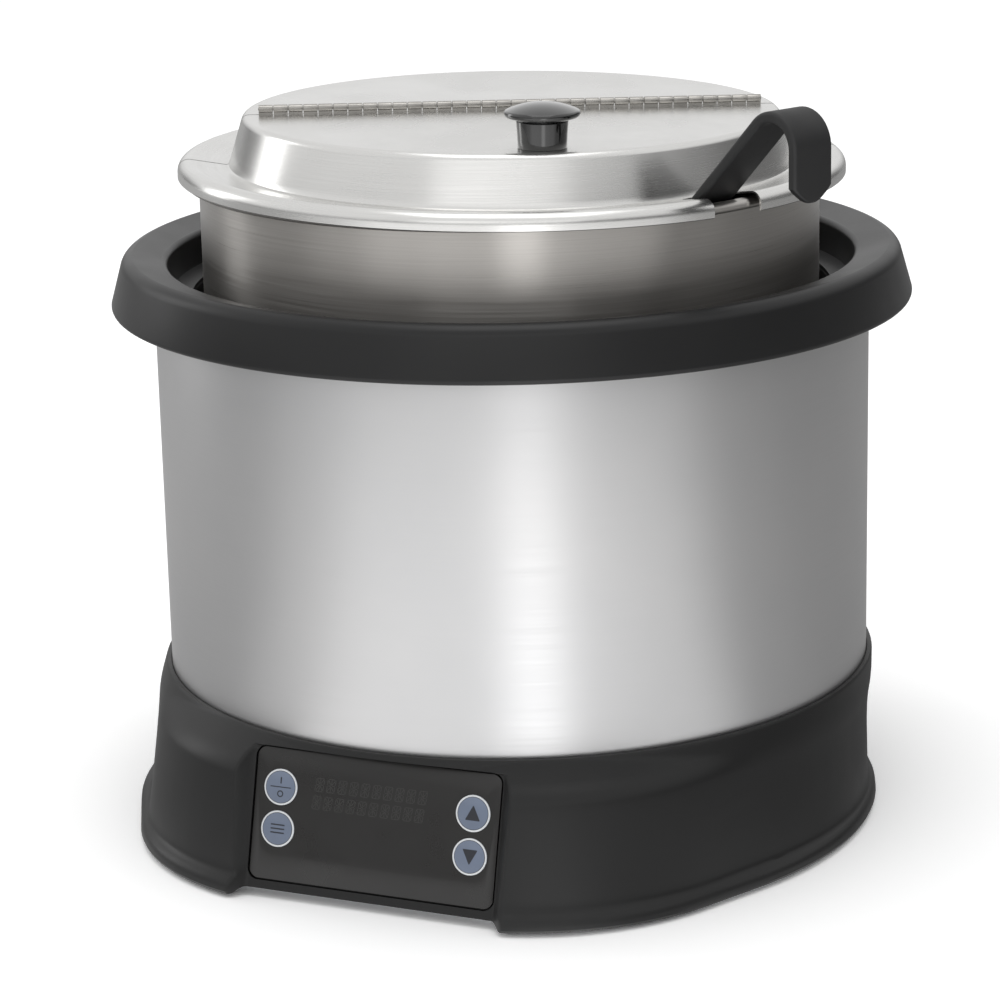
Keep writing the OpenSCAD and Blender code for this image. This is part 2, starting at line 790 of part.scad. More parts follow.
module knob_screw() {
    color([0.75, 0.75, 0.76]) on_lid() at_knob() translate([0, 0, -lid_t]) {
        translate([0, 0, -0.8]) cylinder(r = 6, h = 0.8, $fn = 48);
        translate([0, 0, -3]) cylinder(r = 3.8, h = 2.2 + eps, $fn = 48);
        translate([0, 0, -1]) cylinder(r = screw_r - 0.05, h = 11, $fn = 48);
    }
}

// --- ladle ----------------------------------------------------------------------------

// A straight piece of strap along the ladle's line, between two distances from strap_through
module strap_run(from, to, t) {
    translate(strap_through) rotate(90 - ladle_lean)
        translate([from, -t / 2]) square([to - from, t]);
}

module ladle_grip() {
    start = strap_through - strap_axis * grip_inside;
    turn = 180 - ladle_lean;
    end = hook_bend_at + [hook_bend, -hook_drop];
    color([0.1, 0.1, 0.1]) upright_plane(ladle_bearing) difference() {
        linear_extrude(strap_w, center = true) polygon(concat(
            [start - strap_side * strap_t / 2, start + strap_side * strap_t / 2],
            arc(hook_bend_at, hook_bend + strap_t / 2, turn, 0, 14),
            [end + [strap_t / 2, 0], end - [strap_t / 2, 0]],
            arc(hook_bend_at, hook_bend - strap_t / 2, 0, turn, 14)
        ));
        // slot for the shank's tang
        linear_extrude(shank_w + 0.2, center = true)
            strap_run(-grip_inside - 1, -grip_inside + tang + 0.2, shank_t + 0.2);
        // the hook's end is cut to a blunt point
        for (side = [-1, 1])
            translate([end.x, end.y, 0]) rotate([0, 90, 0]) linear_extrude(20, center = true)
                polygon([[side * 0.6, -1], [side * (strap_w / 2 + 1), -1],
                         [side * (strap_w / 2 + 1), tip_cut + 1]]);
        rivet_holes(rivet_r + 0.05);
    }
}

// The two rivets' holes, across the strap's thickness
module rivet_holes(r) {
    for (d = [8, 21])
        translate(strap_through - strap_axis * (grip_inside - d))
            rotate([0, 0, 90 - ladle_lean]) rotate([90, 0, 0])
                cylinder(r = r, h = 20, center = true, $fn = 32);
}

module ladle_rivets() {
    color([0.75, 0.75, 0.75]) upright_plane(ladle_bearing) intersection() {
        rivet_holes(rivet_r);
        linear_extrude(20, center = true)
            strap_run(-grip_inside - 5, 0, strap_t);
    }
}

module ladle_shank() {
    color([0.78, 0.78, 0.77]) upright_plane(ladle_bearing) difference() {
        linear_extrude(shank_w, center = true)
            strap_run(-shank_end, -grip_inside + tang, shank_t);
        rivet_holes(rivet_r + 0.05);
    }
}

// Places a shape whose axis is +Z in line with the ladle, with the bowl's rim at its origin
module at_bowl() {
    rim = strap_through - strap_axis * shank_end + strap_side * (bowl_r + shank_t / 2);
    rotate([0, 0, ladle_bearing - 90]) translate([rim.x, 0, rim.y]) rotate([0, ladle_lean, 0])
        children();
}

module ladle_bowl() {
    color([0.8, 0.8, 0.79]) at_bowl() rotate_extrude() intersection() {
        translate([0, bowl_sphere_up]) difference() {
            circle(bowl_sphere_r);
            circle(bowl_sphere_r - bowl_t);
        }
        translate([0, -bowl_sphere_r]) square([bowl_sphere_r, bowl_sphere_r]);
    }
}

// --- assembly -------------------------------------------------------------------------

base_housing();
bottom_plate();
feet();
bottom_screws();
cord_gland();
gland_locknut();
terminal_block();
power_board();
heat_sink();
capacitors();
filter_choke();
board_posts();
fan_frame();
fan_rotor();
control_board();
display_module();
tact_switches();
control_fascia();
button_power();
button_function();
button_up();
button_down();
tray_posts();
coil_tray();
ferrite_bars();
induction_coil();
coil_leads();
mica_sheet();
temperature_sensor();
well_liner();
floor_seal();
well_floor();
insulation_wrap();
tie_rods();
outer_shell();
collar();
inset_pot();
inset_base_plate();
lid_rear();
rear_hinge_leaf();
hinge_pin();
lid_front();
front_hinge_leaf();
lid_knob();
knob_screw();
ladle_bowl();
ladle_shank();
ladle_rivets();
ladle_grip();
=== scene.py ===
"""Looks of the induction soup kettle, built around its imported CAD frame.

Lengths are in millimetres until to_object() turns them into the metres of the frame.
+Z is up and the control panel faces -Y. A bearing is an angle from -Y, positive towards +X.
"""

import json
import math

import bmesh
import bpy
import numpy as np
from mathutils import Matrix, Vector

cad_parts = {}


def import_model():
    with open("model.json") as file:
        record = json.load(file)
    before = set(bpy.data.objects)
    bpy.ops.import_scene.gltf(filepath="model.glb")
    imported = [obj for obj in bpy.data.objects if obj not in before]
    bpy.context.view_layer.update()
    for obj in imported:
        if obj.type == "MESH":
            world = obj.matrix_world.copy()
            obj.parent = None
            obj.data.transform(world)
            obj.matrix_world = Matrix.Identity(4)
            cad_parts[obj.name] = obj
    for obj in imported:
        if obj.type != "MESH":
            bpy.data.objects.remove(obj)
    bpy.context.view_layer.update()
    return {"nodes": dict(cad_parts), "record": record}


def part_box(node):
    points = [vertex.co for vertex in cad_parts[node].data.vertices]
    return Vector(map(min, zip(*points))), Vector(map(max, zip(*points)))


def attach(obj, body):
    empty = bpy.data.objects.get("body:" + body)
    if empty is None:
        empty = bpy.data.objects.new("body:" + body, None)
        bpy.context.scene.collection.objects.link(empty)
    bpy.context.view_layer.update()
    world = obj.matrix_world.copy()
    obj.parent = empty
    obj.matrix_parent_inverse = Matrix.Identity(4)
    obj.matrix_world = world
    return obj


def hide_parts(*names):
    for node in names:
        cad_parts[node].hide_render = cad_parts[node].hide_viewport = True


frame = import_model()
MM = 0.001


def box(node):
    """Lowest and highest corner of a CAD node, in millimetres."""
    low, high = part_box(node)
    return low / MM, high / MM


# --- outlines and meshes --------------------------------------------------------------


def arc(centre, r, start, end, steps=12):
    """Points along an arc, from one angle to another, in degrees."""
    turns = np.radians(np.linspace(start, end, steps + 1))
    return [(centre[0] + r * math.cos(a), centre[1] + r * math.sin(a)) for a in turns]


def rounded(corners, steps=6):
    """A closed outline through corners (x, y, radius), each rounded to its radius."""
    outline = []
    for i, (x, y, r) in enumerate(corners):
        here = Vector((x, y))
        if r == 0:
            outline.append(tuple(here))
            continue
        back = (Vector(corners[i - 1][:2]) - here).normalized()
        on = (Vector(corners[(i + 1) % len(corners)][:2]) - here).normalized()
        half = back.angle(on) / 2
        centre = here + (back + on).normalized() * r / math.sin(half)
        first = here + back * r / math.tan(half) - centre
        last = here + on * r / math.tan(half) - centre
        for s in range(steps + 1):
            blend = (first * (steps - s) + last * s).normalized() * r
            outline.append(tuple(centre + blend))
    return outline


def to_object(name, verts, faces, matrix=None, sharp=32):
    """A mesh object from millimetre points, shaded smooth up to the sharp angle."""
    mesh = bpy.data.meshes.new(name)
    mesh.from_pydata([Vector(v) * MM for v in verts], [], faces)
    obj = bpy.data.objects.new(name, mesh)
    bpy.context.scene.collection.objects.link(obj)
    if matrix is not None:
        place = matrix.copy()
        place.translation = place.translation * MM
        mesh.transform(place)
    return clean(obj, sharp)


def clean(obj, sharp=32):
    """Merges doubled points, drops loose ones, points the normals outwards and shades."""
    bm = bmesh.new()
    bm.from_mesh(obj.data)
    bmesh.ops.remove_doubles(bm, verts=bm.verts, dist=1e-6)
    bmesh.ops.dissolve_degenerate(bm, edges=bm.edges, dist=1e-7)
    bmesh.ops.recalc_face_normals(bm, faces=bm.faces)
    bm.to_mesh(obj.data)
    bm.free()
    obj.data.shade_smooth()
    obj.data.set_sharp_from_angle(angle=math.radians(sharp))
    return obj


def lathe(name, outline, segments=192, matrix=None, sharp=32):
    """A solid of revolution about Z from a closed outline of (radius, height)."""
    count = len(outline)
    turns = np.linspace(0, 2 * math.pi, segments, endpoint=False)
    verts = [(r * math.cos(a), r * math.sin(a), z) for a in turns for r, z in outline]
    faces = []
    for s in range(segments):
        a, b = s * count, (s + 1) % segments * count
        for i in range(count):
            j = (i + 1) % count
            if outline[i][0] < 1e-6 and outline[j][0] < 1e-6:
                continue
            faces.append((a + i, b + i, b + j, a + j))
    return to_object(name, verts, faces, matrix, sharp)


def loft(name, rings, matrix=None, sharp=40):
    """A closed solid through rings of points, with flat ends."""
    count = len(rings[0])
    verts = [p for ring in rings for p in ring]
    faces = []
    for k in range(len(rings) - 1):
        for i in range(count):
            j = (i + 1) % count
            a, b = k * count, (k + 1) * count
            faces.append((a + i, a + j, b + j, b + i))
    faces.append(tuple(range(count))[::-1])
    faces.append(tuple((len(rings) - 1) * count + i for i in range(count)))
    return to_object(name, verts, faces, matrix, sharp)


def slab(name, outline, low, high, edge=0.0, matrix=None, sharp=32, steps=3):
    """A flat plate from a convex outline, between two heights, with rounded rims."""
    centre = np.mean(np.array(outline), axis=0)
    reach = np.max(np.linalg.norm(np.array(outline) - centre, axis=1))
    rings = []
    for side in (-1, 1):
        level = low if side < 0 else high
        for s in range(steps + 1) if edge else (0,):
            a = math.radians(90 * (s if side < 0 else steps - s) / steps)
            pull = edge * (1 - math.sin(a))
            scale = 1 - pull / reach
            z = level - side * edge * (1 - math.cos(a))
            rings.append([(*(centre + (np.array(p) - centre) * scale), z) for p in outline])
    return loft(name, rings, matrix, sharp)


def join(name, objects):
    """One object from several."""
    bm = bmesh.new()
    for o in objects:
        bm.from_mesh(o.data)
        bpy.data.objects.remove(o)
    mesh = bpy.data.meshes.new(name)
    bm.to_mesh(mesh)
    bm.free()
    obj = bpy.data.objects.new(name, mesh)
    bpy.context.scene.collection.objects.link(obj)
    return clean(obj)


def settle(obj, sharp=32):
    """Turns an object's modifiers into its mesh."""
    graph = bpy.context.evaluated_depsgraph_get()
    mesh = bpy.data.meshes.new_from_object(obj.evaluated_get(graph))
    obj.modifiers.clear()
    obj.data = mesh
    return clean(obj, sharp)


def carve(obj, cutters, sharp=32):
    """Cuts other closed meshes out of obj and removes them."""
    for cutter in cutters:
        cut = obj.modifiers.new("cut", "BOOLEAN")
        cut.operation = "DIFFERENCE"
        cut.solver = "EXACT"
        cut.object = cutter
    settle(obj, sharp)
    for cutter in cutters:
        bpy.data.objects.remove(cutter)
    return obj


def toward(bearing):
    """Turns a shape that faces -Y to a bearing."""
    return Matrix.Rotation(math.radians(bearing), 4, "Z")


def finish_piece(obj, body, slot, *nodes, material=None):
    """Hangs a piece on its body, gives it its finish if it has none, and hides the CAD it stands for."""
    if not any(obj.data.materials):
        obj.data.materials.clear()
        obj.data.materials.append(material or MATERIALS[slot])
    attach(obj, body)
    if nodes:
        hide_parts(*nodes)
    return obj


# --- materials ------------------------------------------------------------------------


class Finish:
    """A material's nodes, with short calls for what the finishes have in common."""

    def __init__(self, name, colour, roughness, metallic=0.0, **sockets):
        self.material = bpy.data.materials.new(name)
        self.material.use_nodes = True
        self.tree = self.material.node_tree
        self.shader = self.tree.nodes["Principled BSDF"]
        self.set("Base Color", (*colour, 1.0))
        self.set("Roughness", roughness)
        self.set("Metallic", metallic)
        for socket, value in sockets.items():
            self.set(socket.replace("_", " "), value)

    def set(self, socket, value):
        self.shader.inputs[socket].default_value = value

    def node(self, kind):
        return self.tree.nodes.new("ShaderNode" + kind)

    def link(self, source, target):
        self.tree.links.new(source, target)

    def place(self, stretch=(1, 1, 1)):
        """The object's own coordinates, stretched."""
        coordinates = self.node("TexCoord")
        mapping = self.node("Mapping")
        mapping.inputs["Scale"].default_value = stretch
        self.link(coordinates.outputs["Object"], mapping.inputs["Vector"])
        return mapping.outputs["Vector"]

    def noise(self, scale, detail=3.0, stretch=(1, 1, 1), roughness=0.5):
        texture = self.node("TexNoise")
        texture.inputs["Scale"].default_value = scale
        texture.inputs["Detail"].default_value = detail
        texture.inputs["Roughness"].default_value = roughness
        self.link(self.place(stretch), texture.inputs["Vector"])
        return texture.outputs["Fac"]

    def spread(self, source, low, high, start=0.3, stop=0.7):
        """Maps a texture's usual span onto low and high."""
        mapped = self.node("MapRange")
        for socket, value in zip(("From Min", "From Max", "To Min", "To Max"),
                                 (start, stop, low, high)):
            mapped.inputs[socket].default_value = value
        self.link(source, mapped.inputs["Value"])
        return mapped.outputs["Result"]

    def edges(self, low=0.52, high=0.6):
        """Grows from 0 to 1 on the mesh's convex edges."""
        geometry = self.node("NewGeometry")
        return self.spread(geometry.outputs["Pointiness"], 0, 1, low, high)

    def times(self, a, b):
        product = self.node("Math")
        product.operation = "MULTIPLY"
        for source, socket in zip((a, b), product.inputs):
            if isinstance(source, (int, float)):
                socket.default_value = source
            else:
                self.link(source, socket)
        return product.outputs["Value"]

    def plus(self, a, b):
        total = self.node("Math")
        total.operation = "ADD"
        self.link(a, total.inputs[0])
        self.link(b, total.inputs[1])
        return total.outputs["Value"]

    def colours(self, share, first, second):
        """Colour that runs from first to second with the share."""
        mix = self.node("Mix")
        mix.data_type = "RGBA"
        mix.inputs["A"].default_value = (*first, 1.0)
        mix.inputs["B"].default_value = (*second, 1.0)
        self.link(share, mix.inputs["Factor"])
        self.link(mix.outputs["Result"], self.shader.inputs["Base Color"])
        return mix

    def rough(self, source):
        self.link(source, self.shader.inputs["Roughness"])

    def bump(self, *layers):
        """Relief from (texture, height in millimetres) layers."""
        below = None
        for source, height in layers:
            relief = self.node("Bump")
            relief.inputs["Strength"].default_value = 1.0
            relief.inputs["Distance"].default_value = height * MM
            self.link(source, relief.inputs["Height"])
            if below is not None:
                self.link(below, relief.inputs["Normal"])
            below = relief.outputs["Normal"]
        self.link(below, self.shader.inputs["Normal"])

    def brushed_round(self, amount):
        """Stretches the highlight across scratches that run round the Z axis."""
        self.set("Anisotropic", amount)
        self.set("Anisotropic Rotation", 0.25)
        tangent = self.node("Tangent")
        tangent.direction_type = "RADIAL"
        tangent.axis = "Z"
        self.link(tangent.outputs["Tangent"], self.shader.inputs["Tangent"])


def moulded_black(name, colour, grain, roughness):
    """Black plastic with a fine moulded grain, and a painted highlight a little lighter on its convex
    edges, in noisy patches.
    """
    finish = Finish(name, colour, roughness, Specular_IOR_Level=0.36)
    cloud = finish.noise(14, 4)
    lighter = tuple(2.2 * c + 0.01 for c in colour)
    # painted highlight: a lighter colour on the convex edges, broken into patches by noise
    edge_highlight = finish.times(finish.edges(), finish.spread(finish.noise(160, 4), 0, 1))
    finish.colours(edge_highlight, colour, lighter)
    finish.rough(finish.spread(cloud, roughness - 0.06, roughness + 0.06))
    finish.bump((finish.noise(grain, 2), 0.02), (finish.noise(60, 3), 0.03))
    return finish.material


def satin_shell():
    """Silver sheet with a fine satin grain, a touch warmer and darker in faint clouds."""
    finish = Finish("shell_satin", (0.64, 0.64, 0.645), 0.38, 1.0)
    streak = finish.noise(3.0, 3, (6, 6, 900))
    finish.colours(finish.spread(finish.noise(9, 4), 0, 1), (0.66, 0.655, 0.655), (0.61, 0.61, 0.615))
    finish.rough(finish.spread(streak, 0.33, 0.41))
    finish.bump((finish.noise(2600, 2), 0.006), (streak, 0.003))
    finish.brushed_round(0.35)
    return finish.material


def brushed_pot():
    """Stainless steel brushed round the wall."""
    finish = Finish("pot_stainless", (0.52, 0.505, 0.485), 0.24, 1.0)
    fine = finish.noise(1.0, 4, (14, 14, 5200), 0.6)
    coarse = finish.noise(1.0, 3, (9, 9, 900))
    both = finish.plus(finish.times(fine, 0.6), finish.times(coarse, 0.4))
    finish.colours(finish.spread(both, 0, 1), (0.44, 0.42, 0.395), (0.58, 0.56, 0.535))
    finish.rough(finish.spread(both, 0.26, 0.38))
    finish.bump((fine, 0.006), (coarse, 0.006))
    finish.brushed_round(0.92)
    return finish.material


def polished_lid():
    """Polished stainless steel with a faint haze, fine rings from its brushing and wipe marks."""
    finish = Finish("lid_stainless", (0.76, 0.755, 0.74), 0.16, 1.0)
    haze = finish.noise(16, 5)
    wipe = finish.noise(1.0, 3, (40, 900, 40))
    rings = finish.noise(1.0, 4, (20, 20, 2600), 0.6)
    finish.rough(finish.spread(finish.plus(finish.times(haze, 0.6), finish.times(rings, 0.4)), 0.2, 0.32))
    both = finish.plus(finish.times(haze, 0.4), finish.times(rings, 0.6))
    finish.colours(finish.spread(both, 0, 1), (0.78, 0.775, 0.76), (0.71, 0.705, 0.69))
    finish.bump((finish.noise(9, 2), 0.04), (wipe, 0.0015), (rings, 0.004))
    finish.brushed_round(0.35)
    return finish.material


def plain_metal(name, colour, roughness, grain=400, relief=0.008):
    """Bare metal with a mottled sheen and a fine drawn grain."""
    finish = Finish(name, colour, roughness, 1.0)
    mottle = finish.noise(120, 4)
    darker = tuple(0.82 * c for c in colour)
    finish.colours(finish.spread(mottle, 0, 1), colour, darker)
    finish.rough(finish.spread(mottle, roughness - 0.06, roughness + 0.08))
    finish.bump((finish.noise(grain, 3, (1, 6, 1)), relief))
    return finish.material


def plain_plastic(name, colour, roughness, grain=900, relief=0.012, coat=0.0):
    """Moulded plastic or paint with slight mottling and a fine grain."""
    finish = Finish(name, colour, roughness, Coat_Weight=coat, Coat_Roughness=0.08)
    mottle = finish.noise(60, 4)
    finish.colours(finish.spread(mottle, 0, 1), colour, tuple(0.86 * c for c in colour))
    finish.rough(finish.spread(mottle, roughness - 0.05, roughness + 0.05))
    finish.bump((finish.noise(grain, 2), relief))
    return finish.material


BLACKS = {  # colour, grain, roughness
    "housing_plastic": ((0.0095, 0.0095, 0.0096), 1500, 0.42),
    "collar_plastic": ((0.011, 0.011, 0.0114), 1300, 0.36),
}
METALS = {  # colour, roughness, grain, relief in millimetres
    "zinc_plate": ((0.62, 0.63, 0.65), 0.42, 200, 0.01),
    "fastener_steel": ((0.68, 0.68, 0.69), 0.3, 900),
    "sink_aluminium": ((0.66, 0.67, 0.7), 0.4),
    "copper": ((0.72, 0.33, 0.14), 0.34, 900),
    "hinge_steel": ((0.44, 0.425, 0.4), 0.26, 900, 0.004),
    "ladle_steel": ((0.68, 0.68, 0.67), 0.22, 900, 0.004),
}
PLASTICS = {  # colour, roughness, grain, relief in millimetres, clear coat
    "rubber": ((0.03, 0.03, 0.03), 0.75, 700, 0.03),
    "gland_nylon": ((0.02, 0.02, 0.021), 0.42),
    "terminal_plastic": ((0.8, 0.77, 0.68), 0.5),
    "circuit_board": ((0.03, 0.17, 0.07), 0.35, 500, 0.02, 0.4),
    "capacitor_sleeve": ((0.05, 0.07, 0.22), 0.3, 300, 0.01, 0.5),
    "inner_plastic": ((0.035, 0.035, 0.036), 0.5),
    "display_glass": ((0.012, 0.013, 0.012), 0.12, 200, 0.0, 0.8),
    "fascia_gloss": ((0.0125, 0.0116, 0.011), 0.3, 1200, 0.004, 0.12),
    "key_grey_blue": ((0.16, 0.196, 0.272), 0.38, 1200, 0.004, 0.2),
    "ferrite": ((0.05, 0.05, 0.055), 0.6, 500, 0.05),
    "lead_sleeve": ((0.72, 0.64, 0.45), 0.6),
    "mica": ((0.5, 0.42, 0.27), 0.4, 90, 0.05, 0.3),
    "ceramic": ((0.82, 0.8, 0.76), 0.6, 600, 0.03),
    "liner_dark": ((0.035, 0.035, 0.037), 0.45, 500, 0.02),
    "silicone": ((0.09, 0.09, 0.09), 0.6, 400, 0.02),
    "glass_ceramic": ((0.012, 0.012, 0.014), 0.12, 160, 0.004, 1.0),
    "mineral_wool": ((0.72, 0.66, 0.48), 0.95, 260, 0.6),
    "knob_phenolic": ((0.006, 0.006, 0.006), 0.09, 300, 0.001, 1.0),
    "grip_coating": ((0.013, 0.013, 0.0135), 0.55, 1600, 0.02),
}
MATERIALS = {"shell_satin": satin_shell(), "pot_stainless": brushed_pot(), "lid_stainless": polished_lid()}
for make, recipes in ((moulded_black, BLACKS), (plain_metal, METALS), (plain_plastic, PLASTICS)):
    for material_name, recipe in recipes.items():
        MATERIALS[material_name] = make(material_name, *recipe)


# --- base -----------------------------------------------------------------------------

PANEL_TILT = 15.5  # lean of the panel, back from upright
PANEL_AT = (164.5, 35.5)  # distance from the axis and height of the panel's middle
FASCIA = (113.0, 56.6, 4.2)  # width, height and corner radius
FASCIA_T = 2.4
GROOVE = 0.7  # gap round the fascia
RECESS_HALF = 57.5  # half width of the recess's floor
RECESS_FLARE = 9 / 11  # how fast its sides open out
RECESS_TOP = 63.4
HOUSING_WALL = 3.0
SKIRT_Z = 1.5
ARCH_Z, ARCH_Y = 4.2, -120.0  # underside of the front below the panel, and how far back it runs
ARCH_FADE = 11.0  # height over which the arch's lift fades out
SEAT = (160.2, 64.8, 148.0, 62.6)  # radius and height of the shell's seat, then its inside
FOOT_FORWARD = 16.5  # how far the foot's middle is in front of the kettle's axis
LOBE_R, LOBE_BEARING = 110.0, 27.0  # the two bulges beside the panel


def on_panel():
    """Places a shape on the panel's face: X across, Y up the face, Z out of it."""
    at = Matrix.Translation((0, -PANEL_AT[0], PANEL_AT[1]))
    return at @ Matrix.Rotation(math.radians(90 - PANEL_TILT), 4, "X")


def smooth_min(a, b, reach):
    near = np.maximum(reach - np.abs(a - b), 0) / reach
    return np.minimum(a, b) - near * near * reach / 4


def smooth_step(x, low, high):
    t = np.clip((x - low) / (high - low), 0, 1)
    return t * t * (3 - 2 * t)


def soften(points, cut, steps=6):
    """A line through points, its corners turned into curves that start cut away."""
    points = [np.array(p, float) for p in points]
    line = [points[0]]
    for before, here, after, c in zip(points, points[1:], points[2:], cut):
        start = here + (before - here) * min(c / np.linalg.norm((before - here)[:2]), 0.5)
        end = here + (after - here) * min(c / np.linalg.norm((after - here)[:2]), 0.5)
        for s in np.linspace(0, 1, steps + 1):
            line.append((1 - s) ** 2 * start + 2 * s * (1 - s) * here + s * s * end)
    return line + [points[-1]]


FAR = 9e3  # stands for no wall in a direction


def housing_outline(size, forward, reach, bearing, inset):
    """Distance from the axis to a tight loop round a circle and the two lobes."""
    turns = np.radians(np.arange(0, 360, 0.5))
    across = forward * np.cos(turns) + size - inset
    for side in (-1, 1):
        lean = turns - side * math.radians(LOBE_BEARING)
        across = np.maximum(across, (reach - LOBE_R) * np.cos(lean) + LOBE_R - inset)
    facing = np.cos(turns[:, None] - bearing[None, :])
    return np.min(np.where(facing > 0.3, across[:, None] / np.maximum(facing, 0.3), FAR), axis=0)


def housing_radius(z, size, forward, reach, bearing, inset):
    """Distance of the base's wall from the kettle's axis, with the panel's recess in it."""
    cos, sin = np.cos(bearing), np.abs(np.sin(bearing))
    outer = housing_outline(size, forward, reach, bearing, inset)
    tilt = math.radians(PANEL_TILT)
    depth = -(FASCIA_T + HOUSING_WALL) if inset else 0.0
    half = RECESS_HALF + inset * 0.8
    lean = math.sin(tilt) * (z - PANEL_AT[1])
    with np.errstate(divide="ignore", invalid="ignore"):
        floor = (PANEL_AT[0] - (lean - depth) / math.cos(tilt)) / cos
        slope = sin - RECESS_FLARE * math.cos(tilt) * cos
        side = (half - RECESS_FLARE * (math.cos(tilt) * PANEL_AT[0] - lean + depth)) / slope
    facing = (np.cos(bearing) > 0.5) & (slope < -0.02)
    floor = np.where(facing, floor, FAR)
    side = np.where(facing, side, FAR)
    recess = -smooth_min(-floor, -side, 2.4)
    cut = smooth_min(outer, recess, 3.6)
    share = 1 - smooth_step(z, RECESS_TOP - 0.7, RECESS_TOP + 0.25)
    return outer + (cut - outer) * share


def housing_bearings():
    """Bearings of the wall's columns, closest together at the sides of the recess."""
    spans = ((0, 17, 1.0), (17, 24, 0.14), (24, 30, 1.0), (30, 180, 2.0))
    side = np.concatenate([np.arange(a, b, s) for a, b, s in spans])
    return np.radians(np.concatenate([side, [180.0], -side[:0:-1]]))


def base_housing():
    """The moulded base, closed from its skirt up over the shell's seat and down inside."""
    bearing = housing_bearings()
    skirt_r, skirt_reach, seam_z = 168.0, 190.4, 67.5
    # each row: the circle's radius, height, how far forward its middle is, the lobes' reach
    outside = [(skirt_r, SKIRT_Z + 0.1, FOOT_FORWARD, skirt_reach),
               (169.0, SKIRT_Z + 0.5, FOOT_FORWARD, 191.6), (169.6, 3.2, FOOT_FORWARD, 192.2),
               (169.3, 6, FOOT_FORWARD, 191.7), (168.4, 7.5, 16.2, 190.7),
               (167.0, 8.6, 15.3, 189.2), (165.8, 9.5, 14.5, 187.9), (165.3, 10.7, 14.2, 187.2)]
    outside += soften([(165.1, 12, 14, 186.8), (163, 44, 9.4, 181), (163.9, 56.5, 4.9, 178.2),
                       (162.7, 66.6, 0.2, 163.4), (162.2, seam_z, 0, 162.2)], (14, 4.5, 0.5), 8)
    rows = []
    for (r, z, d, reach), (r2, z2, d2, reach2) in zip(outside, outside[1:]):
        fine = z2 > RECESS_TOP - 1.2 and z < RECESS_TOP + 0.6
        steps = max(1, int(np.ceil((z2 - z) / (0.18 if fine else 2.5))))
        for s in range(steps):
            t = s / steps
            rows.append((r + (r2 - r) * t, z + (z2 - z) * t, d + (d2 - d) * t,
                         reach + (reach2 - reach) * t, 0.0))
    rows.append((*outside[-1], 0.0))
    seat_r, seat_z, bore_r, bore_z = SEAT
    rows += [(r, z, 0, 0, None) for r, z in ((seat_r + 0.3, seam_z), (seat_r, seam_z - 0.3),
                                             (seat_r, seat_z), (bore_r, seat_z), (bore_r, bore_z))]
    inner = [row for row in outside if row[1] < bore_z - 1]
    rows += [(*row, HOUSING_WALL) for row in [(163.4, bore_z, 2.4, 169)] + inner[::-3]]
    rows.append((skirt_r, SKIRT_Z, FOOT_FORWARD, skirt_reach, HOUSING_WALL))
    verts = []
    for r, z, d, reach, inset in rows:
        radius = np.full_like(bearing, r)
        if inset is not None:
            radius = housing_radius(z, r, d, reach, bearing, inset)
        x, y = radius * np.sin(bearing), -radius * np.cos(bearing)
        arch = smooth_step(RECESS_HALF + 5.5 - np.abs(x), 0, 5) * (y < ARCH_Y)
        lift = arch * (ARCH_Z - SKIRT_Z) * max(0.0, 1 - (z - SKIRT_Z) / ARCH_FADE)
        verts += list(zip(x, y, z + lift))
    count = len(bearing)
    faces = []
    for k in range(len(rows)):
        a, b = k * count, (k + 1) % len(rows) * count
        for i in range(count):
            j = (i + 1) % count
            faces.append((a + i, a + j, b + j, b + i))
    housing = to_object("housing_shell", verts, faces)
    w, h, corner = FASCIA
    pocket = plate_outline(w + 2 * GROOVE, h + 2 * GROOVE, corner + GROOVE)
    cutters = [slab("pocket", pocket, -FASCIA_T, 20, matrix=on_panel())]
    cutters.append(gland_cut())
    hole, pad_r = GLAND_BORE + 4.1, GLAND_PAD
    pad = [(hole, -7), (pad_r, -7), (pad_r, -0.4), (pad_r - 0.4, 0), (hole, 0)]
    pad = lathe("gland_pad", pad, 64, at_gland())
    housing = join("housing_shell", [carve(housing, cutters), pad])
    return finish_piece(housing, "base", "housing_plastic", "base_housing")


def plate_outline(w, h, corner, steps=8):
    """A rounded rectangle about the origin."""
    x, y = w / 2, h / 2
    return rounded([(-x, -y, corner), (x, -y, corner), (x, y, corner), (-x, y, corner)], steps)


# --- supply cord's entry --------------------------------------------------------------

GLAND_AT = (154.0, 32.0)  # seat of the gland's flange on the back, and its height
GLAND_BORE = 5.0
GLAND_PAD = 16.0  # radius of the flat round it


def at_gland():
    """Places a shape whose axis is +Z on the back of the base, pointing backwards."""
    return Matrix.Translation((0, GLAND_AT[0], GLAND_AT[1])) @ Matrix.Rotation(-math.pi / 2, 4, "X")


def gland_cut():
    """The flat round the gland and the hole through the wall, as one stepped plug."""
    return lathe("gland_cut", [(0, -12), (GLAND_BORE + 4.1, -12), (GLAND_BORE + 4.1, 0),
                               (GLAND_PAD, 0), (GLAND_PAD, 12), (0, 12)], 64, at_gland())


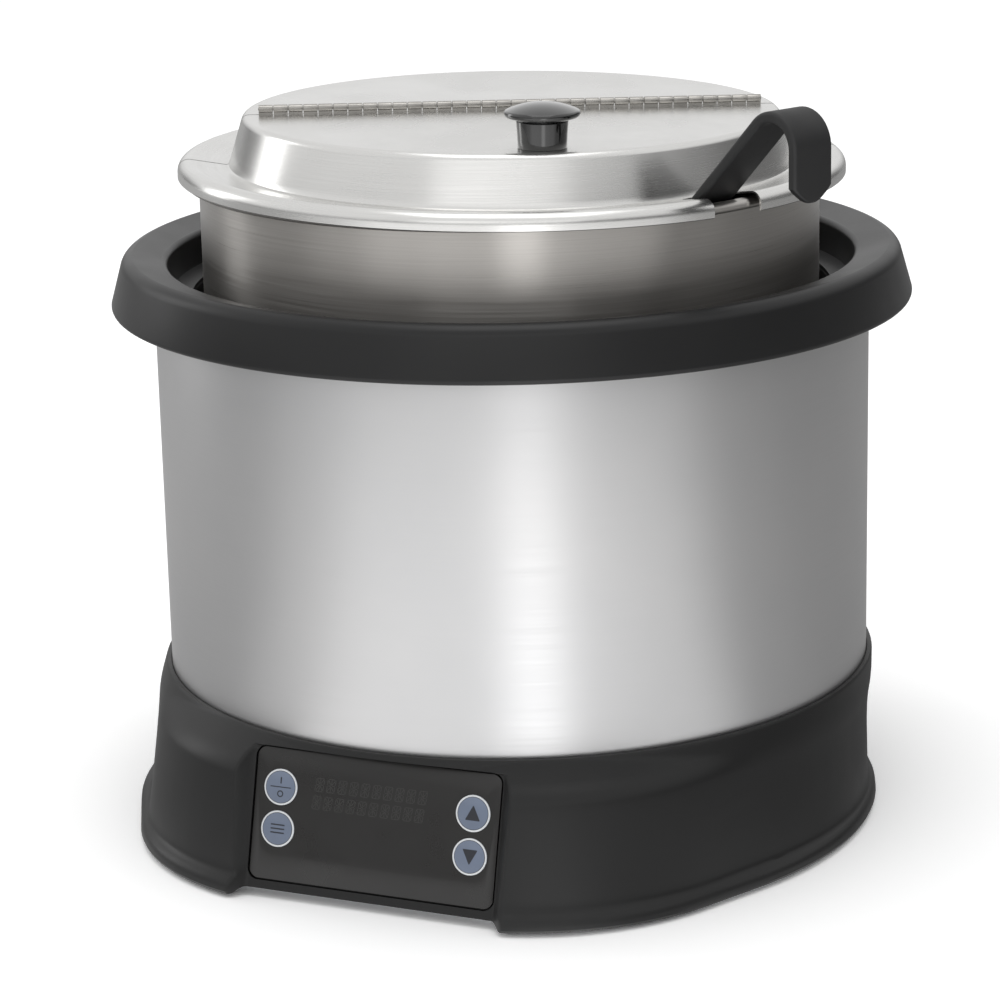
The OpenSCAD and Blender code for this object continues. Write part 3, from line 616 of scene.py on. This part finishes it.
def cord_gland():
    """Nylon gland: hexagon flange, ribbed dome nut, and the threaded barrel inside."""
    hexagon = slab("gland_flange", [(13 * math.cos(a), 13 * math.sin(a)) for a in
                                    np.radians(np.arange(0, 360, 60))], 0, 4, 0.6, at_gland())
    bore = GLAND_BORE
    barrel = lathe("gland_barrel", rounded([(bore, -16, 0.5), (9, -16, 0.8), (9, 1, 0), (bore, 1, 0)]),
                   64, at_gland())
    dome = []
    for a in np.radians(np.arange(0, 360, 3.0)):
        rib = 0.35 * max(0.0, math.cos(12 * a)) ** 0.5
        dome.append((math.cos(a), math.sin(a), rib))
    levels = [(10.2, 4), (10.6, 4.5), (10.6, 9.5), (10.0, 11.5), (8.6, 13.2), (7.2, 14.0)]
    rings = [[((r + rib * (z < 11)) * c, (r + rib * (z < 11)) * s, z) for c, s, rib in dome]
             for r, z in levels]
    nut = loft("gland_nut", rings, at_gland())
    hole = lathe("gland_hole", [(0, -20), (bore, -20), (bore, 20), (0, 20)], 64, at_gland())
    nut = carve(join("gland_nut", [hexagon, nut]), [hole])
    gland = join("cord_entry_gland", [nut, barrel])
    return finish_piece(gland, "base", "gland_nylon", "cord_gland")


def feet():
    """Four rubber feet, slightly hollow underneath."""
    high = box("feet")[1]
    ring, r = 148.0, 11.0
    outline = rounded([(0, 0.5, 0), (6.5, 0.5, 0.4), (7, 0, 0.4), (r - 1, 0, 0.8), (r, high.z, 0.3),
                       (0, high.z, 0)])
    made = []
    for bearing in (-135, -45, 45, 135):
        middle = Matrix.Translation((0, -FOOT_FORWARD, 0))
        place = middle @ toward(bearing) @ Matrix.Translation((0, -ring, 0))
        made.append(lathe("foot", outline, 64, place))
    return finish_piece(join("rubber_feet", made), "base", "rubber", "feet")


# --- controls -------------------------------------------------------------------------

KEY_R = 7.8
KEY_PROUD = 0.3
KEYS = {"power": (-44.6, 11.6), "function": (-44.6, -6.3), "up": (44.6, 10.9), "down": (44.6, -7.3)}


def fascia():
    """The glossy front plate with four holes for the keys."""
    w, h, corner = FASCIA
    plate = slab("fascia_plate", plate_outline(w, h, corner), -FASCIA_T, 0, 0.35, on_panel())
    holes = []
    for x, y in KEYS.values():
        place = on_panel() @ Matrix.Translation((x, y, 0))
        r = KEY_R + 0.1
        holes.append(lathe("hole", [(0, -5), (r, -5), (r, 5), (0, 5)], 96, place))
    return finish_piece(carve(plate, holes), "base", "fascia_gloss", "control_fascia")


def print_material(name, colour, roughness=0.4):
    finish = Finish(name, colour, roughness)
    finish.rough(finish.spread(finish.noise(400, 3), roughness - 0.04, roughness + 0.04))
    finish.bump((finish.noise(1500, 2), 0.003))
    return finish.material


KEY_WHITE = print_material("key_white", (0.72, 0.74, 0.76))
KEY_INK = print_material("key_ink", (0.02, 0.022, 0.03))
SEGMENT_INK = print_material("segment_ink", (0.03, 0.0295, 0.028), 0.36)


def key_cap(name):
    """A key: white ring, thin dark line, grey-blue face, and the stem behind it."""
    x, y = KEYS[name]
    place = on_panel() @ Matrix.Translation((x, y, 0))
    top, r = KEY_PROUD, KEY_R
    outline = [(0, top - 0.12), (r - 1.15, top - 0.1), (r - 1.0, top - 0.06), (r - 0.95, top - 0.16),
               (r - 0.8, top - 0.16), (r - 0.75, top - 0.02), (r - 0.6, top), (r - 0.2, top - 0.02),
               (r, top - 0.25), (r, top - 1.9), (3, top - 1.9), (3, -8.8), (0, -8.8)]
    cap = lathe("key_cap_" + name, outline, 96, place, 60)
    inward = place.inverted()
    for material in (MATERIALS["key_grey_blue"], KEY_INK, KEY_WHITE):
        cap.data.materials.append(material)
    for face in cap.data.polygons:
        middle = inward @ (face.center / MM)
        out = math.hypot(middle.x, middle.y)
        if middle.z > top - 0.3 and out > r - 0.8:
            face.material_index = 2
        elif middle.z > top - 0.3 and out > r - 1.0:
            face.material_index = 1
    return finish_piece(cap, "key_" + name, "key_grey_blue", "button_" + name)


def key_symbol(name, outlines):
    """A printed mark on a key's face."""
    x, y = KEYS[name]
    place = on_panel() @ Matrix.Translation((x, y, 0))
    marks = [slab("mark", o, KEY_PROUD - 0.16, KEY_PROUD - 0.05, matrix=place) for o in outlines]
    symbol = join("key_mark_" + name, marks)
    return finish_piece(symbol, "key_" + name, "key_grey_blue", material=KEY_INK)


def bar(w, h, x=0.0, y=0.0, corner=0.1):
    return [(px + x, py + y) for px, py in plate_outline(w, h, min(corner, h / 2.2, w / 2.2), 3)]


def ring_marks(r, width, y, pieces=24):
    """A printed ring, as a run of short plates."""
    marks = []
    for k in range(pieces):
        a, b = 2 * math.pi * k / pieces, 2 * math.pi * (k + 1.02) / pieces
        marks.append([((r - width) * math.cos(a), y + (r - width) * math.sin(a)),
                      (r * math.cos(a), y + r * math.sin(a)),
                      (r * math.cos(b), y + r * math.sin(b)),
                      ((r - width) * math.cos(b), y + (r - width) * math.sin(b))])
    return marks


def key_symbols():
    """Generic marks: on and off with a line between, three bars, and two arrows."""
    key_symbol("power", [bar(9.6, 0.4), bar(0.55, 2.8, 0, 2.9)] + ring_marks(1.45, 0.5, -2.9))
    key_symbol("function", [bar(6.4, 0.55, 0, y) for y in (-1.7, 0, 1.7)])
    key_symbol("up", [rounded([(-3.4, -3.0, 0.25), (3.4, -3.0, 0.25), (0, 3.5, 0.25)], 3)])
    key_symbol("down", [rounded([(-3.4, 3.0, 0.25), (0, -3.5, 0.25), (3.4, 3.0, 0.25)], 3)])


def display_segments():
    """Two rows of unlit starburst characters, barely lighter than the fascia."""
    pitch, high, wide, line = 5.3, 5.6, 3.6, 0.34
    first_x, slant = -28.2, 0.12
    strokes = []
    for row_y in (14.6, 6.9):
        for k in range(10):
            strokes += character(first_x + k * pitch, row_y, wide, high)
    marks = []
    for (x1, y1), (x2, y2) in strokes:
        along = Vector((x2 - x1, y2 - y1)).normalized() * line
        side = Vector((-along.y, along.x)) * 0.5
        a, b = Vector((x1, y1)) + along * 0.8, Vector((x2, y2)) - along * 0.8
        outline = [(p.x + slant * p.y, p.y) for p in (a - side, b - side, b + side, a + side)]
        marks.append(slab("segment", outline, -0.05, 0.02, matrix=on_panel()))
    return finish_piece(join("display_segments", marks), "base", "display_glass", material=SEGMENT_INK)


def character(x, y, wide, high):
    """The fourteen strokes of one starburst character about its middle."""
    left, right, low, top = x - wide / 2, x + wide / 2, y - high / 2, y + high / 2
    frame_strokes = [((left, top), (right, top)), ((left, low), (right, low)),
                     ((left, low), (left, y)), ((left, y), (left, top)),
                     ((right, low), (right, y)), ((right, y), (right, top))]
    arms = [((left, y), (x, y)), ((x, y), (right, y)), ((x, low), (x, y)), ((x, y), (x, top))]
    corners = [((x, y), p) for p in ((left, top), (right, top), (left, low), (right, low))]
    return frame_strokes + arms + corners


# --- shell, collar and well -----------------------------------------------------------


def outer_shell():
    low, high = box("outer_shell")
    r, t = high.x, 1.2
    outline = rounded([(r - t, low.z, 0), (r, low.z, 0.3), (r, high.z, 0.3), (r - t, high.z, 0)], 3)
    return finish_piece(lathe("satin_shell", outline, 256), "base", "shell_satin", "outer_shell")


LIP_DROP = 1.5  # how far the lip round the shell hangs below the collar


def collar():
    """The black bezel: leaning wall, dished top, rounded mouth with a ledge inside it."""
    low, high = box("collar")
    shell = box("outer_shell")[1].x
    top, r = high.z, high.x
    wall, crease, mouth = low.z + LIP_DROP, r - 4.5, 153.3
    brim = 6.5
    ledge = box("well_liner")[1].z + 0.1
    outline = [(shell + 0.2, low.z), (shell + 1.7, low.z), (shell + 2, low.z + 0.3),
               (shell + 2, wall - 0.3), (shell + 2.3, wall), (r - 2, wall)]
    outline += arc((r - 2, wall + 2), 2, -90, 10, 8)
    outline += arc((crease - brim, top - brim), brim, 12, 84, 20)
    outline += arc((mouth + 2.6, top - 5.9), 2.6, 78, 180, 12)
    outline += rounded([(mouth, ledge + 2.4, 0), (mouth - 1, ledge + 2.3, 0.4), (142.9, ledge + 1.4, 0.3),
                        (142.6, ledge, 0)], 4)[1:]
    outline += [(150.8, ledge), (150.8, wall), (shell + 0.2, wall)]
    return finish_piece(lathe("collar_ring", outline, 256), "base", "collar_plastic", "collar")


def well_liner():
    low, high = box("well_liner")
    inner, t, flange = 142.6, 0.8, 150.5
    outline = rounded([(122, low.z, 0), (inner + t, low.z, 1.2), (inner + t, high.z - t, 0.6),
                       (flange, high.z - t, 0), (flange, high.z, 0), (inner, high.z, 1.2),
                       (inner, low.z + t, 0.6), (122, low.z + t, 0)])
    return finish_piece(lathe("well_lining", outline), "base", "liner_dark", "well_liner")


# --- pot ------------------------------------------------------------------------------


def inset_pot():
    """Deep-drawn pot with a rolled rim."""
    high = box("inset_pot")[1]
    floor = box("inset_base_plate")[1].z
    wall, t, corner, roll = 137.8, 0.9, 12.0, 2.1
    roll_at = (wall + 5.1, high.z - roll)
    cove = 3.0
    cove_at = (wall - t + cove, high.z - cove)
    bend = (wall - corner, floor + corner)
    outline = [(0, floor)] + arc(bend, corner, -90, 0, 12)
    outline += arc(cove_at, cove - t, 180, 90, 8)
    outline += [(roll_at[0] - 1, high.z - t), (roll_at[0] - 1, high.z - 2 * roll)]
    outline += arc(roll_at, roll, -90, 90, 16)
    outline += arc(cove_at, cove, 90, 180, 8)
    outline += arc(bend, corner - t, 0, -90, 12) + [(0, floor + t)]
    return finish_piece(lathe("steel_pot", outline, 256), "pot", "pot_stainless", "inset_pot")


# --- lid ------------------------------------------------------------------------------

LID_BEARING = 27.0
KNOB_BEARING = 29.5
LADLE_BEARING = 61.5
LID_R = 148.2
LID_RISE = 23.2  # of the flat top above the pot's rim
BEAD_RISE = 4.1  # of the crest of the rolled edge above the pot's rim
LID_TILT = 0.68  # degrees out of level, lower at the hinge's right end
LID_SHIFT = 1.3  # the lid's middle, off the pot's axis along the hinge
NOTCH = (26.0, 126.0)  # width and distance from the axis
HALF_GAP = 0.6
LID_T = 0.9
KNOB_AT = 103.0
HINGE_LEN = 223.6
HINGE_RISE = 2.5  # of the hinge's axis above the flat top
KNUCKLES = 34
BARREL_R, PIN_R = 1.7, 0.9


def rim_top():
    return box("inset_pot")[1].z


def on_lid():
    """Places a shape drawn for a level lid whose hinge runs along X."""
    bead = rim_top() + BEAD_RISE
    tilt = Matrix.Rotation(math.radians(LID_TILT), 4, "Y")
    there = Matrix.Translation((LID_SHIFT, 0, bead))
    return toward(LID_BEARING) @ there @ tilt @ Matrix.Translation((0, 0, -bead))


def lid_outline():
    """Section of the pressed lid: flat crown, leaning flank, flange, turned-down edge."""
    top = rim_top() + LID_RISE
    flange = rim_top() + 1.1
    bead = rim_top() + BEAD_RISE
    low = rim_top() - 3.5
    crown, crown_r, flank = (116.0, top - 3.6), 3.6, 16.9
    edge_r = 5.0
    edge = (LID_R - edge_r, bead - edge_r)
    foot = 125.4
    upper = [(0, top), (80, top)] + arc(crown, crown_r, 90, flank, 16)
    upper += [(foot - 0.9, flange + 3.0), (foot - 0.45, flange + 1.5), (foot + 0.1, flange + 0.55),
              (foot + 1.0, flange + 0.3), (foot + 2.2, flange + 0.4)]
    upper += arc(edge, edge_r, 100, 0, 16)
    upper += [(LID_R, low + 0.3), (LID_R - 0.3, low), (LID_R - LID_T + 0.3, low),
              (LID_R - LID_T, low + 0.3)]
    lower = arc(edge, edge_r - LID_T, 0, 100, 12)
    lower += [(foot + 0.6, flange - LID_T + 0.3), (foot - 0.5, flange - LID_T + 0.6)]
    lower += arc(crown, crown_r - LID_T, flank, 90, 16) + [(80, top - LID_T), (0, top - LID_T)]
    return upper + lower


def lid_half(name, side):
    """Half of the lid, cut just short of the hinge's plane: -1 the front, 1 the rear."""
    half = lathe(name, lid_outline(), 256)
    normal = Vector((0, side, 0))
    bm = bmesh.new()
    bm.from_mesh(half.data)
    cut = bmesh.ops.bisect_plane(bm, geom=bm.verts[:] + bm.edges[:] + bm.faces[:],
                                 plane_co=normal * HALF_GAP * MM, plane_no=-normal, clear_outer=True)
    rim = [e for e in cut["geom_cut"] if isinstance(e, bmesh.types.BMEdge)]
    bmesh.ops.contextual_create(bm, geom=rim)
    bm.to_mesh(half.data)
    bm.free()
    return clean(half)


def settle_on_pot(obj):
    """Moves a finished mesh from the level lid's place to where the lid lies."""
    place = on_lid()
    place.translation = place.translation * MM
    obj.data.transform(place)
    return obj


def lid():
    finish_piece(settle_on_pot(lid_half("lid_half_rear", 1)), "lid", "lid_stainless", "lid_rear")
    front = lid_half("lid_half_front", -1)
    wide, inner = NOTCH
    outline = rounded([(-wide / 2, -inner, 3), (-wide / 2, -inner - 60, 0), (wide / 2, -inner - 60, 0),
                       (wide / 2, -inner, 3)], 8)
    notch = slab("notch", outline, rim_top() - 20, rim_top() + 30,
                 matrix=toward(LADLE_BEARING - LID_BEARING))
    finish_piece(settle_on_pot(carve(front, [notch])), "lid_front_half", "lid_stainless", "lid_front")


def hinge_leaf(name, side, first):
    """A leaf under one half of the lid, with every other knuckle standing on the crown."""
    top = rim_top() + LID_RISE
    axis_z = top + HINGE_RISE
    pitch = HINGE_LEN / KNUCKLES
    gap, web_half, tongue = 0.36, HALF_GAP - 0.05, HALF_GAP + 0.4
    low = top - LID_T - 0.85
    half = HINGE_LEN / 2
    strip = rounded([(-half, side * HALF_GAP, 0), (half, side * HALF_GAP, 0),
                     (half, side * (HALF_GAP + 12), 2), (-half, side * (HALF_GAP + 12), 2)])
    parts = [slab("leaf", strip, low, low + 0.8)]
    knuckle = rounded([(PIN_R + 0.05, 0, 0), (BARREL_R, 0, 0.25), (BARREL_R, pitch - gap, 0.25),
                       (PIN_R + 0.05, pitch - gap, 0)], 3)
    for k in range(first, KNUCKLES, 2):
        start, end = -half + k * pitch + gap / 2, -half + (k + 1) * pitch - gap / 2
        turn = Matrix.Rotation(math.pi / 2, 4, "Y")
        parts.append(lathe("knuckle", knuckle, 32, Matrix.Translation((start, 0, axis_z)) @ turn))
        for reach, high in ((web_half, axis_z - PIN_R - 0.3), (tongue, low + 0.8)):
            back, front = (reach, -web_half) if side > 0 else (web_half, -reach)
            web = [(start, front), (end, front), (end, back), (start, back)]
            parts.append(slab("web", web, low, high))
    return settle_on_pot(join(name, parts))


def hinge():
    finish_piece(hinge_leaf("hinge_leaf_rear", 1, 0), "lid", "hinge_steel", "rear_hinge_leaf")
    finish_piece(hinge_leaf("hinge_leaf_front", -1, 1), "lid_front_half", "hinge_steel", "front_hinge_leaf")


def hinge_pin():
    """The pin, with slightly domed ends."""
    half = HINGE_LEN / 2
    outline = [(0, -half), (PIN_R - 0.25, -half), (PIN_R, -half + 0.25), (PIN_R, half - 0.25),
               (PIN_R - 0.25, half), (0, half)]
    middle = Matrix.Translation((0, 0, rim_top() + LID_RISE + HINGE_RISE))
    place = middle @ Matrix.Rotation(math.pi / 2, 4, "Y")
    pin = settle_on_pot(lathe("hinge_pin_steel", outline, 32, place))
    finish_piece(pin, "lid", "hinge_steel", "hinge_pin")


def lid_knob():
    """Turned black knob: a sleeve, a narrow neck, and a lens-shaped head."""
    tall, head, dome, edge = 19.0, 15.9, 36.0, 1.6
    sleeve, sleeve_top, sleeve_h, neck = 10.3, 10.9, 11.4, 7.6
    outline = [(2, 0), (sleeve - 0.2, 0), (sleeve, 0.2), (sleeve + 0.1, 3), (sleeve + 0.25, 6)]
    outline += arc((sleeve_top - 0.5, sleeve_h - 0.5), 0.5, 0, 90, 5)
    outline += [(neck, sleeve_h), (neck, sleeve_h + 0.6), (neck + 2.4, sleeve_h + 0.9)]
    outline += arc((head - edge, tall - 4.7), edge, -70, 62, 14)
    outline += arc((0, tall - dome), dome, 65, 90, 16)
    outline += [(0, 11), (2, 11)]
    place = toward(KNOB_BEARING - LID_BEARING) @ Matrix.Translation((0, -KNOB_AT, rim_top() + LID_RISE))
    knob = settle_on_pot(lathe("lid_knob_turned", outline, 96, place, 50))
    return finish_piece(knob, "lid_front_half", "knob_phenolic", "lid_knob")


# --- ladle ----------------------------------------------------------------------------

STRAP = (21.0, 4.6)  # width and thickness of the grip
STRAP_THROUGH = np.array((133.5, 292.1))
LEAN = 45.3
HOOK_AT = np.array((179.0, 319.5))
HOOK_BEND = 12.5
HOOK_DROP = 21.5
TIP_CUT = 6.5
GRIP_INSIDE = 62.0
SHANK = (13.0, 2.2)
SHANK_END = 272.0
BOWL = (44.0, 8.0, 1.1)  # sphere's radius, how far its centre is above the rim, wall
BOWL_RIM = 43.3
AXIS = np.array((math.sin(math.radians(LEAN)), math.cos(math.radians(LEAN))))
ACROSS = np.array((-AXIS[1], AXIS[0]))


def ladle_plane():
    """Places a shape drawn as (distance from the axis, height), at the ladle's bearing."""
    return toward(LADLE_BEARING - 90) @ Matrix.Rotation(math.pi / 2, 4, "X")


def strap_ring(at, along, wide, thick, corner):
    """The strap's rounded section, across the direction that it runs in."""
    side = np.array((-along[1], along[0]))
    return [(*(at + side * t), w) for w, t in plate_outline(wide, thick, corner, 5)]


def ladle_grip():
    """Coated strap that rises from the pot and hooks over, with a blunt tapered end."""
    wide, thick = STRAP
    start = STRAP_THROUGH - AXIS * GRIP_INSIDE
    bend_from = math.radians(180 - LEAN)
    line = [(start + AXIS * s, AXIS) for s in (0.0, 0.5, 1.4, 20.0, 60.0)]
    for a in np.linspace(bend_from, 0, 25):
        out = np.array((math.cos(a), math.sin(a)))
        line.append((HOOK_AT + HOOK_BEND * out, np.array((out[1], -out[0]))))
    down = np.array((0.0, -1.0))
    end = HOOK_AT + np.array((HOOK_BEND, 0.0))
    full = HOOK_DROP - TIP_CUT
    drops = [full * 0.5, full] + [full + TIP_CUT * t for t in (0.3, 0.6, 0.85, 0.95, 1.0)]
    line += [(end + down * s, down) for s in drops]
    rings = []
    for k, (at, along) in enumerate(line):
        into = max(0.0, (end[1] - at[1]) - full) / TIP_CUT if k > 20 else 0.0
        narrow = wide * (1 - 0.74 * into ** 1.25)
        thin = thick * (1 - 0.12 * into)
        if into > 0.9:
            narrow, thin = narrow - 1.2 * (into - 0.9) * 10, thin - 1.4 * (into - 0.9) * 10
        if k == 0:
            narrow, thin = narrow - 1, thin - 1
        if k == 1:
            narrow, thin = narrow - 0.25, thin - 0.25
        rings.append(strap_ring(at, along, narrow, thin, 1.5 * thin / thick))
    grip = loft("ladle_grip_coated", rings, ladle_plane())
    return finish_piece(grip, "ladle", "grip_coating", "ladle_grip")


def ladle_shank():
    """Flat steel shank from the grip down to the bowl's rim."""
    wide, thick = SHANK
    inside = -GRIP_INSIDE + 28
    rings = []
    tip = -SHANK_END
    for s, less in ((inside, 0.3), (inside - 0.4, 0), (tip + 12, 0), (tip + 5, 1.5), (tip, 6)):
        rings.append(strap_ring(STRAP_THROUGH + AXIS * s, AXIS, wide - less, thick, 0.6))
    shank = loft("ladle_shank_steel", rings, ladle_plane())
    return finish_piece(shank, "ladle", "ladle_steel", "ladle_shank")


def ladle_bowl():
    sphere, up, t = BOWL
    rim = STRAP_THROUGH - AXIS * SHANK_END + ACROSS * (BOWL_RIM + SHANK[1] / 2)
    place = toward(LADLE_BEARING - 90) @ Matrix.Translation((rim[0], 0, rim[1]))
    place = place @ Matrix.Rotation(math.radians(LEAN), 4, "Y")
    first = -math.degrees(math.asin(up / sphere))
    outline = arc((0, up), sphere, -90, first, 24) + arc((0, up), sphere - t, first, -90, 24)
    bowl = lathe("ladle_bowl_steel", outline, 128, place)
    return finish_piece(bowl, "ladle", "ladle_steel", "ladle_bowl")


# --- what the CAD shows as it is ------------------------------------------------------


def dress_cad():
    """Gives each CAD node that is shown its slot's material."""
    for part in frame["record"]["subparts"]:
        obj = frame["nodes"][part["node"]]
        obj.data.materials.clear()
        obj.data.materials.append(MATERIALS[part["material_slot"]])


# --- studio ---------------------------------------------------------------------------

EYE_AT = (0.5599, -1.3517, 0.5468)  # metres
EYE_TURN = (22.786, -15.73, -1.299)  # heading, pitch and roll in degrees
CAMERA_BEARING = 22.8  # which the floor's and the world's light are lined up with
FLOOR_SIZE = 30.0
FLOOR_WHITE = 1.3  # what the camera's own rays see; above any real paper's
BOUNCE = [(-180, 0.1), (-140, 0.14), (-115, 0.12), (-85, 0.12), (-62, 0.42), (-42, 0.85), (-22, 0.85),
          (-8, 0.8), (1, 1.7), (6, 1.7), (15, 0.75), (42, 0.6), (64, 0.13), (100, 0.03), (150, 0.03),
          (180, 0.12)]  # (bearing from the camera's, brightness)
BOUNCE_TOP = 1.9
OVERHEAD = (-0.13, -0.05, 1)
BEHIND_SPAN = (0.7, 0.93)  # cosine from straight behind where the bright part starts and is full
ABOVE_SPAN = (0.08, 0.42)  # the same from overhead
DIM_BRIGHT = (0.14, 0.86)


def camera():
    data = bpy.data.cameras.new("camera")
    data.lens, data.sensor_width = 119.45, 36.0
    eye = bpy.data.objects.new("camera", data)
    heading, pitch, roll = (math.radians(a) for a in EYE_TURN)
    turn = Matrix.Rotation(heading, 4, "Z") @ Matrix.Rotation(math.pi / 2 + pitch, 4, "X")
    eye.matrix_world = Matrix.Translation(EYE_AT) @ turn @ Matrix.Rotation(roll, 4, "Z")
    bpy.context.scene.collection.objects.link(eye)
    bpy.context.scene.camera = eye


def floor():
    size = FLOOR_SIZE
    mesh = bpy.data.meshes.new("floor")
    mesh.from_pydata([(-size, -size, 0), (size, -size, 0), (size, size, 0), (-size, size, 0)], [],
                     [(0, 1, 2, 3)])
    obj = bpy.data.objects.new("floor", mesh)
    bpy.context.scene.collection.objects.link(obj)
    obj.data.materials.append(floor_material())


def floor_material():
    """Even white to the camera, but to other rays a grey floor whose light varies by bearing."""
    finish = Finish("floor_pale", (0.3, 0.3, 0.3), 0.9)
    finish.material.cycles.emission_sampling = "NONE"
    white, path, mix = (finish.node(kind) for kind in ("BsdfDiffuse", "LightPath", "MixShader"))
    white.inputs["Color"].default_value = (FLOOR_WHITE, FLOOR_WHITE, FLOOR_WHITE, 1)
    finish.link(path.outputs["Is Camera Ray"], mix.inputs["Fac"])
    finish.link(finish.shader.outputs["BSDF"], mix.inputs[1])
    finish.link(white.outputs["BSDF"], mix.inputs[2])
    finish.link(mix.outputs["Shader"], finish.tree.nodes["Material Output"].inputs["Surface"])
    finish.set("Emission Color", (1, 1, 1, 1))
    finish.link(floor_bounce(finish), finish.shader.inputs["Emission Strength"])
    return finish.material


def floor_bounce(finish):
    """How brightly the floor lights the kettle, by its bearing from the camera's side."""
    apart, turn, ramp = (finish.node(kind) for kind in ("SeparateXYZ", "Math", "ValToRGB"))
    facing = finish.node("VectorRotate")
    facing.rotation_type = "Z_AXIS"
    facing.inputs["Angle"].default_value = math.radians(-CAMERA_BEARING)
    finish.link(finish.place(), facing.inputs["Vector"])
    finish.link(facing.outputs["Vector"], apart.inputs["Vector"])
    turn.operation = "ARCTAN2"
    back = finish.times(apart.outputs["Y"], -1.0)
    finish.link(apart.outputs["X"], turn.inputs[0])
    finish.link(back, turn.inputs[1])
    finish.link(finish.spread(turn.outputs["Value"], 0, 1, -math.pi, math.pi), ramp.inputs["Fac"])
    colours = ramp.color_ramp
    colours.interpolation = "EASE"
    while len(colours.elements) < len(BOUNCE):
        colours.elements.new(0.5)
    for stop, (bearing, level) in zip(colours.elements, BOUNCE):
        stop.position = 0.5 + bearing / 360
        grey = level / BOUNCE_TOP
        stop.color = (grey, grey, grey, 1)
    return finish.times(ramp.outputs["Color"], BOUNCE_TOP)


def area_light(name, bearing, height, away, size, radiance, target=(0, 0, 0.18)):
    """A softbox at a bearing and distance, facing the kettle."""
    data = bpy.data.lights.new(name, "AREA")
    data.shape = "RECTANGLE"
    data.size, data.size_y = size
    data.energy = radiance * math.pi * size[0] * size[1]
    lamp = bpy.data.objects.new(name, data)
    turn = math.radians(bearing)
    lamp.location = (away * math.sin(turn), -away * math.cos(turn), height)
    lamp.rotation_euler = (Vector(target) - lamp.location).to_track_quat("-Z", "Y").to_euler()
    bpy.context.scene.collection.objects.link(lamp)


def world():
    """Surroundings that are bright overhead and behind the kettle, and dim round the horizon."""
    surroundings = bpy.data.worlds.new("studio")
    bpy.context.scene.world = surroundings
    surroundings.use_nodes = True
    nodes, links = surroundings.node_tree.nodes, surroundings.node_tree.links
    background = nodes["Background"]
    background.inputs["Color"].default_value = (1, 1, 1, 1)
    place = nodes.new("ShaderNodeTexCoord")
    turn = math.radians(CAMERA_BEARING + 180)
    shares = []
    behind = (math.sin(turn), -math.cos(turn), 0.6)
    for towards, span in ((behind, BEHIND_SPAN), (OVERHEAD, ABOVE_SPAN)):
        facing, share = nodes.new("ShaderNodeVectorMath"), nodes.new("ShaderNodeMapRange")
        facing.operation = "DOT_PRODUCT"
        facing.inputs[1].default_value = Vector(towards).normalized()
        share.interpolation_type = "SMOOTHSTEP"
        share.inputs["From Min"].default_value, share.inputs["From Max"].default_value = span
        share.inputs["To Min"].default_value, share.inputs["To Max"].default_value = DIM_BRIGHT
        links.new(place.outputs["Generated"], facing.inputs[0])
        links.new(facing.outputs["Value"], share.inputs["Value"])
        shares.append(share)
    brightest = nodes.new("ShaderNodeMath")
    brightest.operation = "MAXIMUM"
    for share, socket in zip(shares, brightest.inputs):
        links.new(share.outputs["Result"], socket)
    links.new(brightest.outputs["Value"], background.inputs["Strength"])


def studio():
    bpy.context.scene.view_settings.view_transform = "Standard"
    camera()
    floor()
    world()
    area_light("softbox_front", 18, 0.85, 1.9, (1.9, 1.1), 0.38)
    area_light("softbox_left", -93, 0.7, 1.8, (0.5, 1.0), 1.7)
    area_light("softbox_top", 20, 2.0, 0.2, (1.2, 1.2), 1.2)


# --- assembly -------------------------------------------------------------------------

dress_cad()
base_housing()
cord_gland()
feet()
fascia()
for key in KEYS:
    key_cap(key)
key_symbols()
display_segments()
outer_shell()
collar()
well_liner()
inset_pot()
lid()
hinge()
hinge_pin()
lid_knob()
ladle_grip()
ladle_shank()
ladle_bowl()
studio()
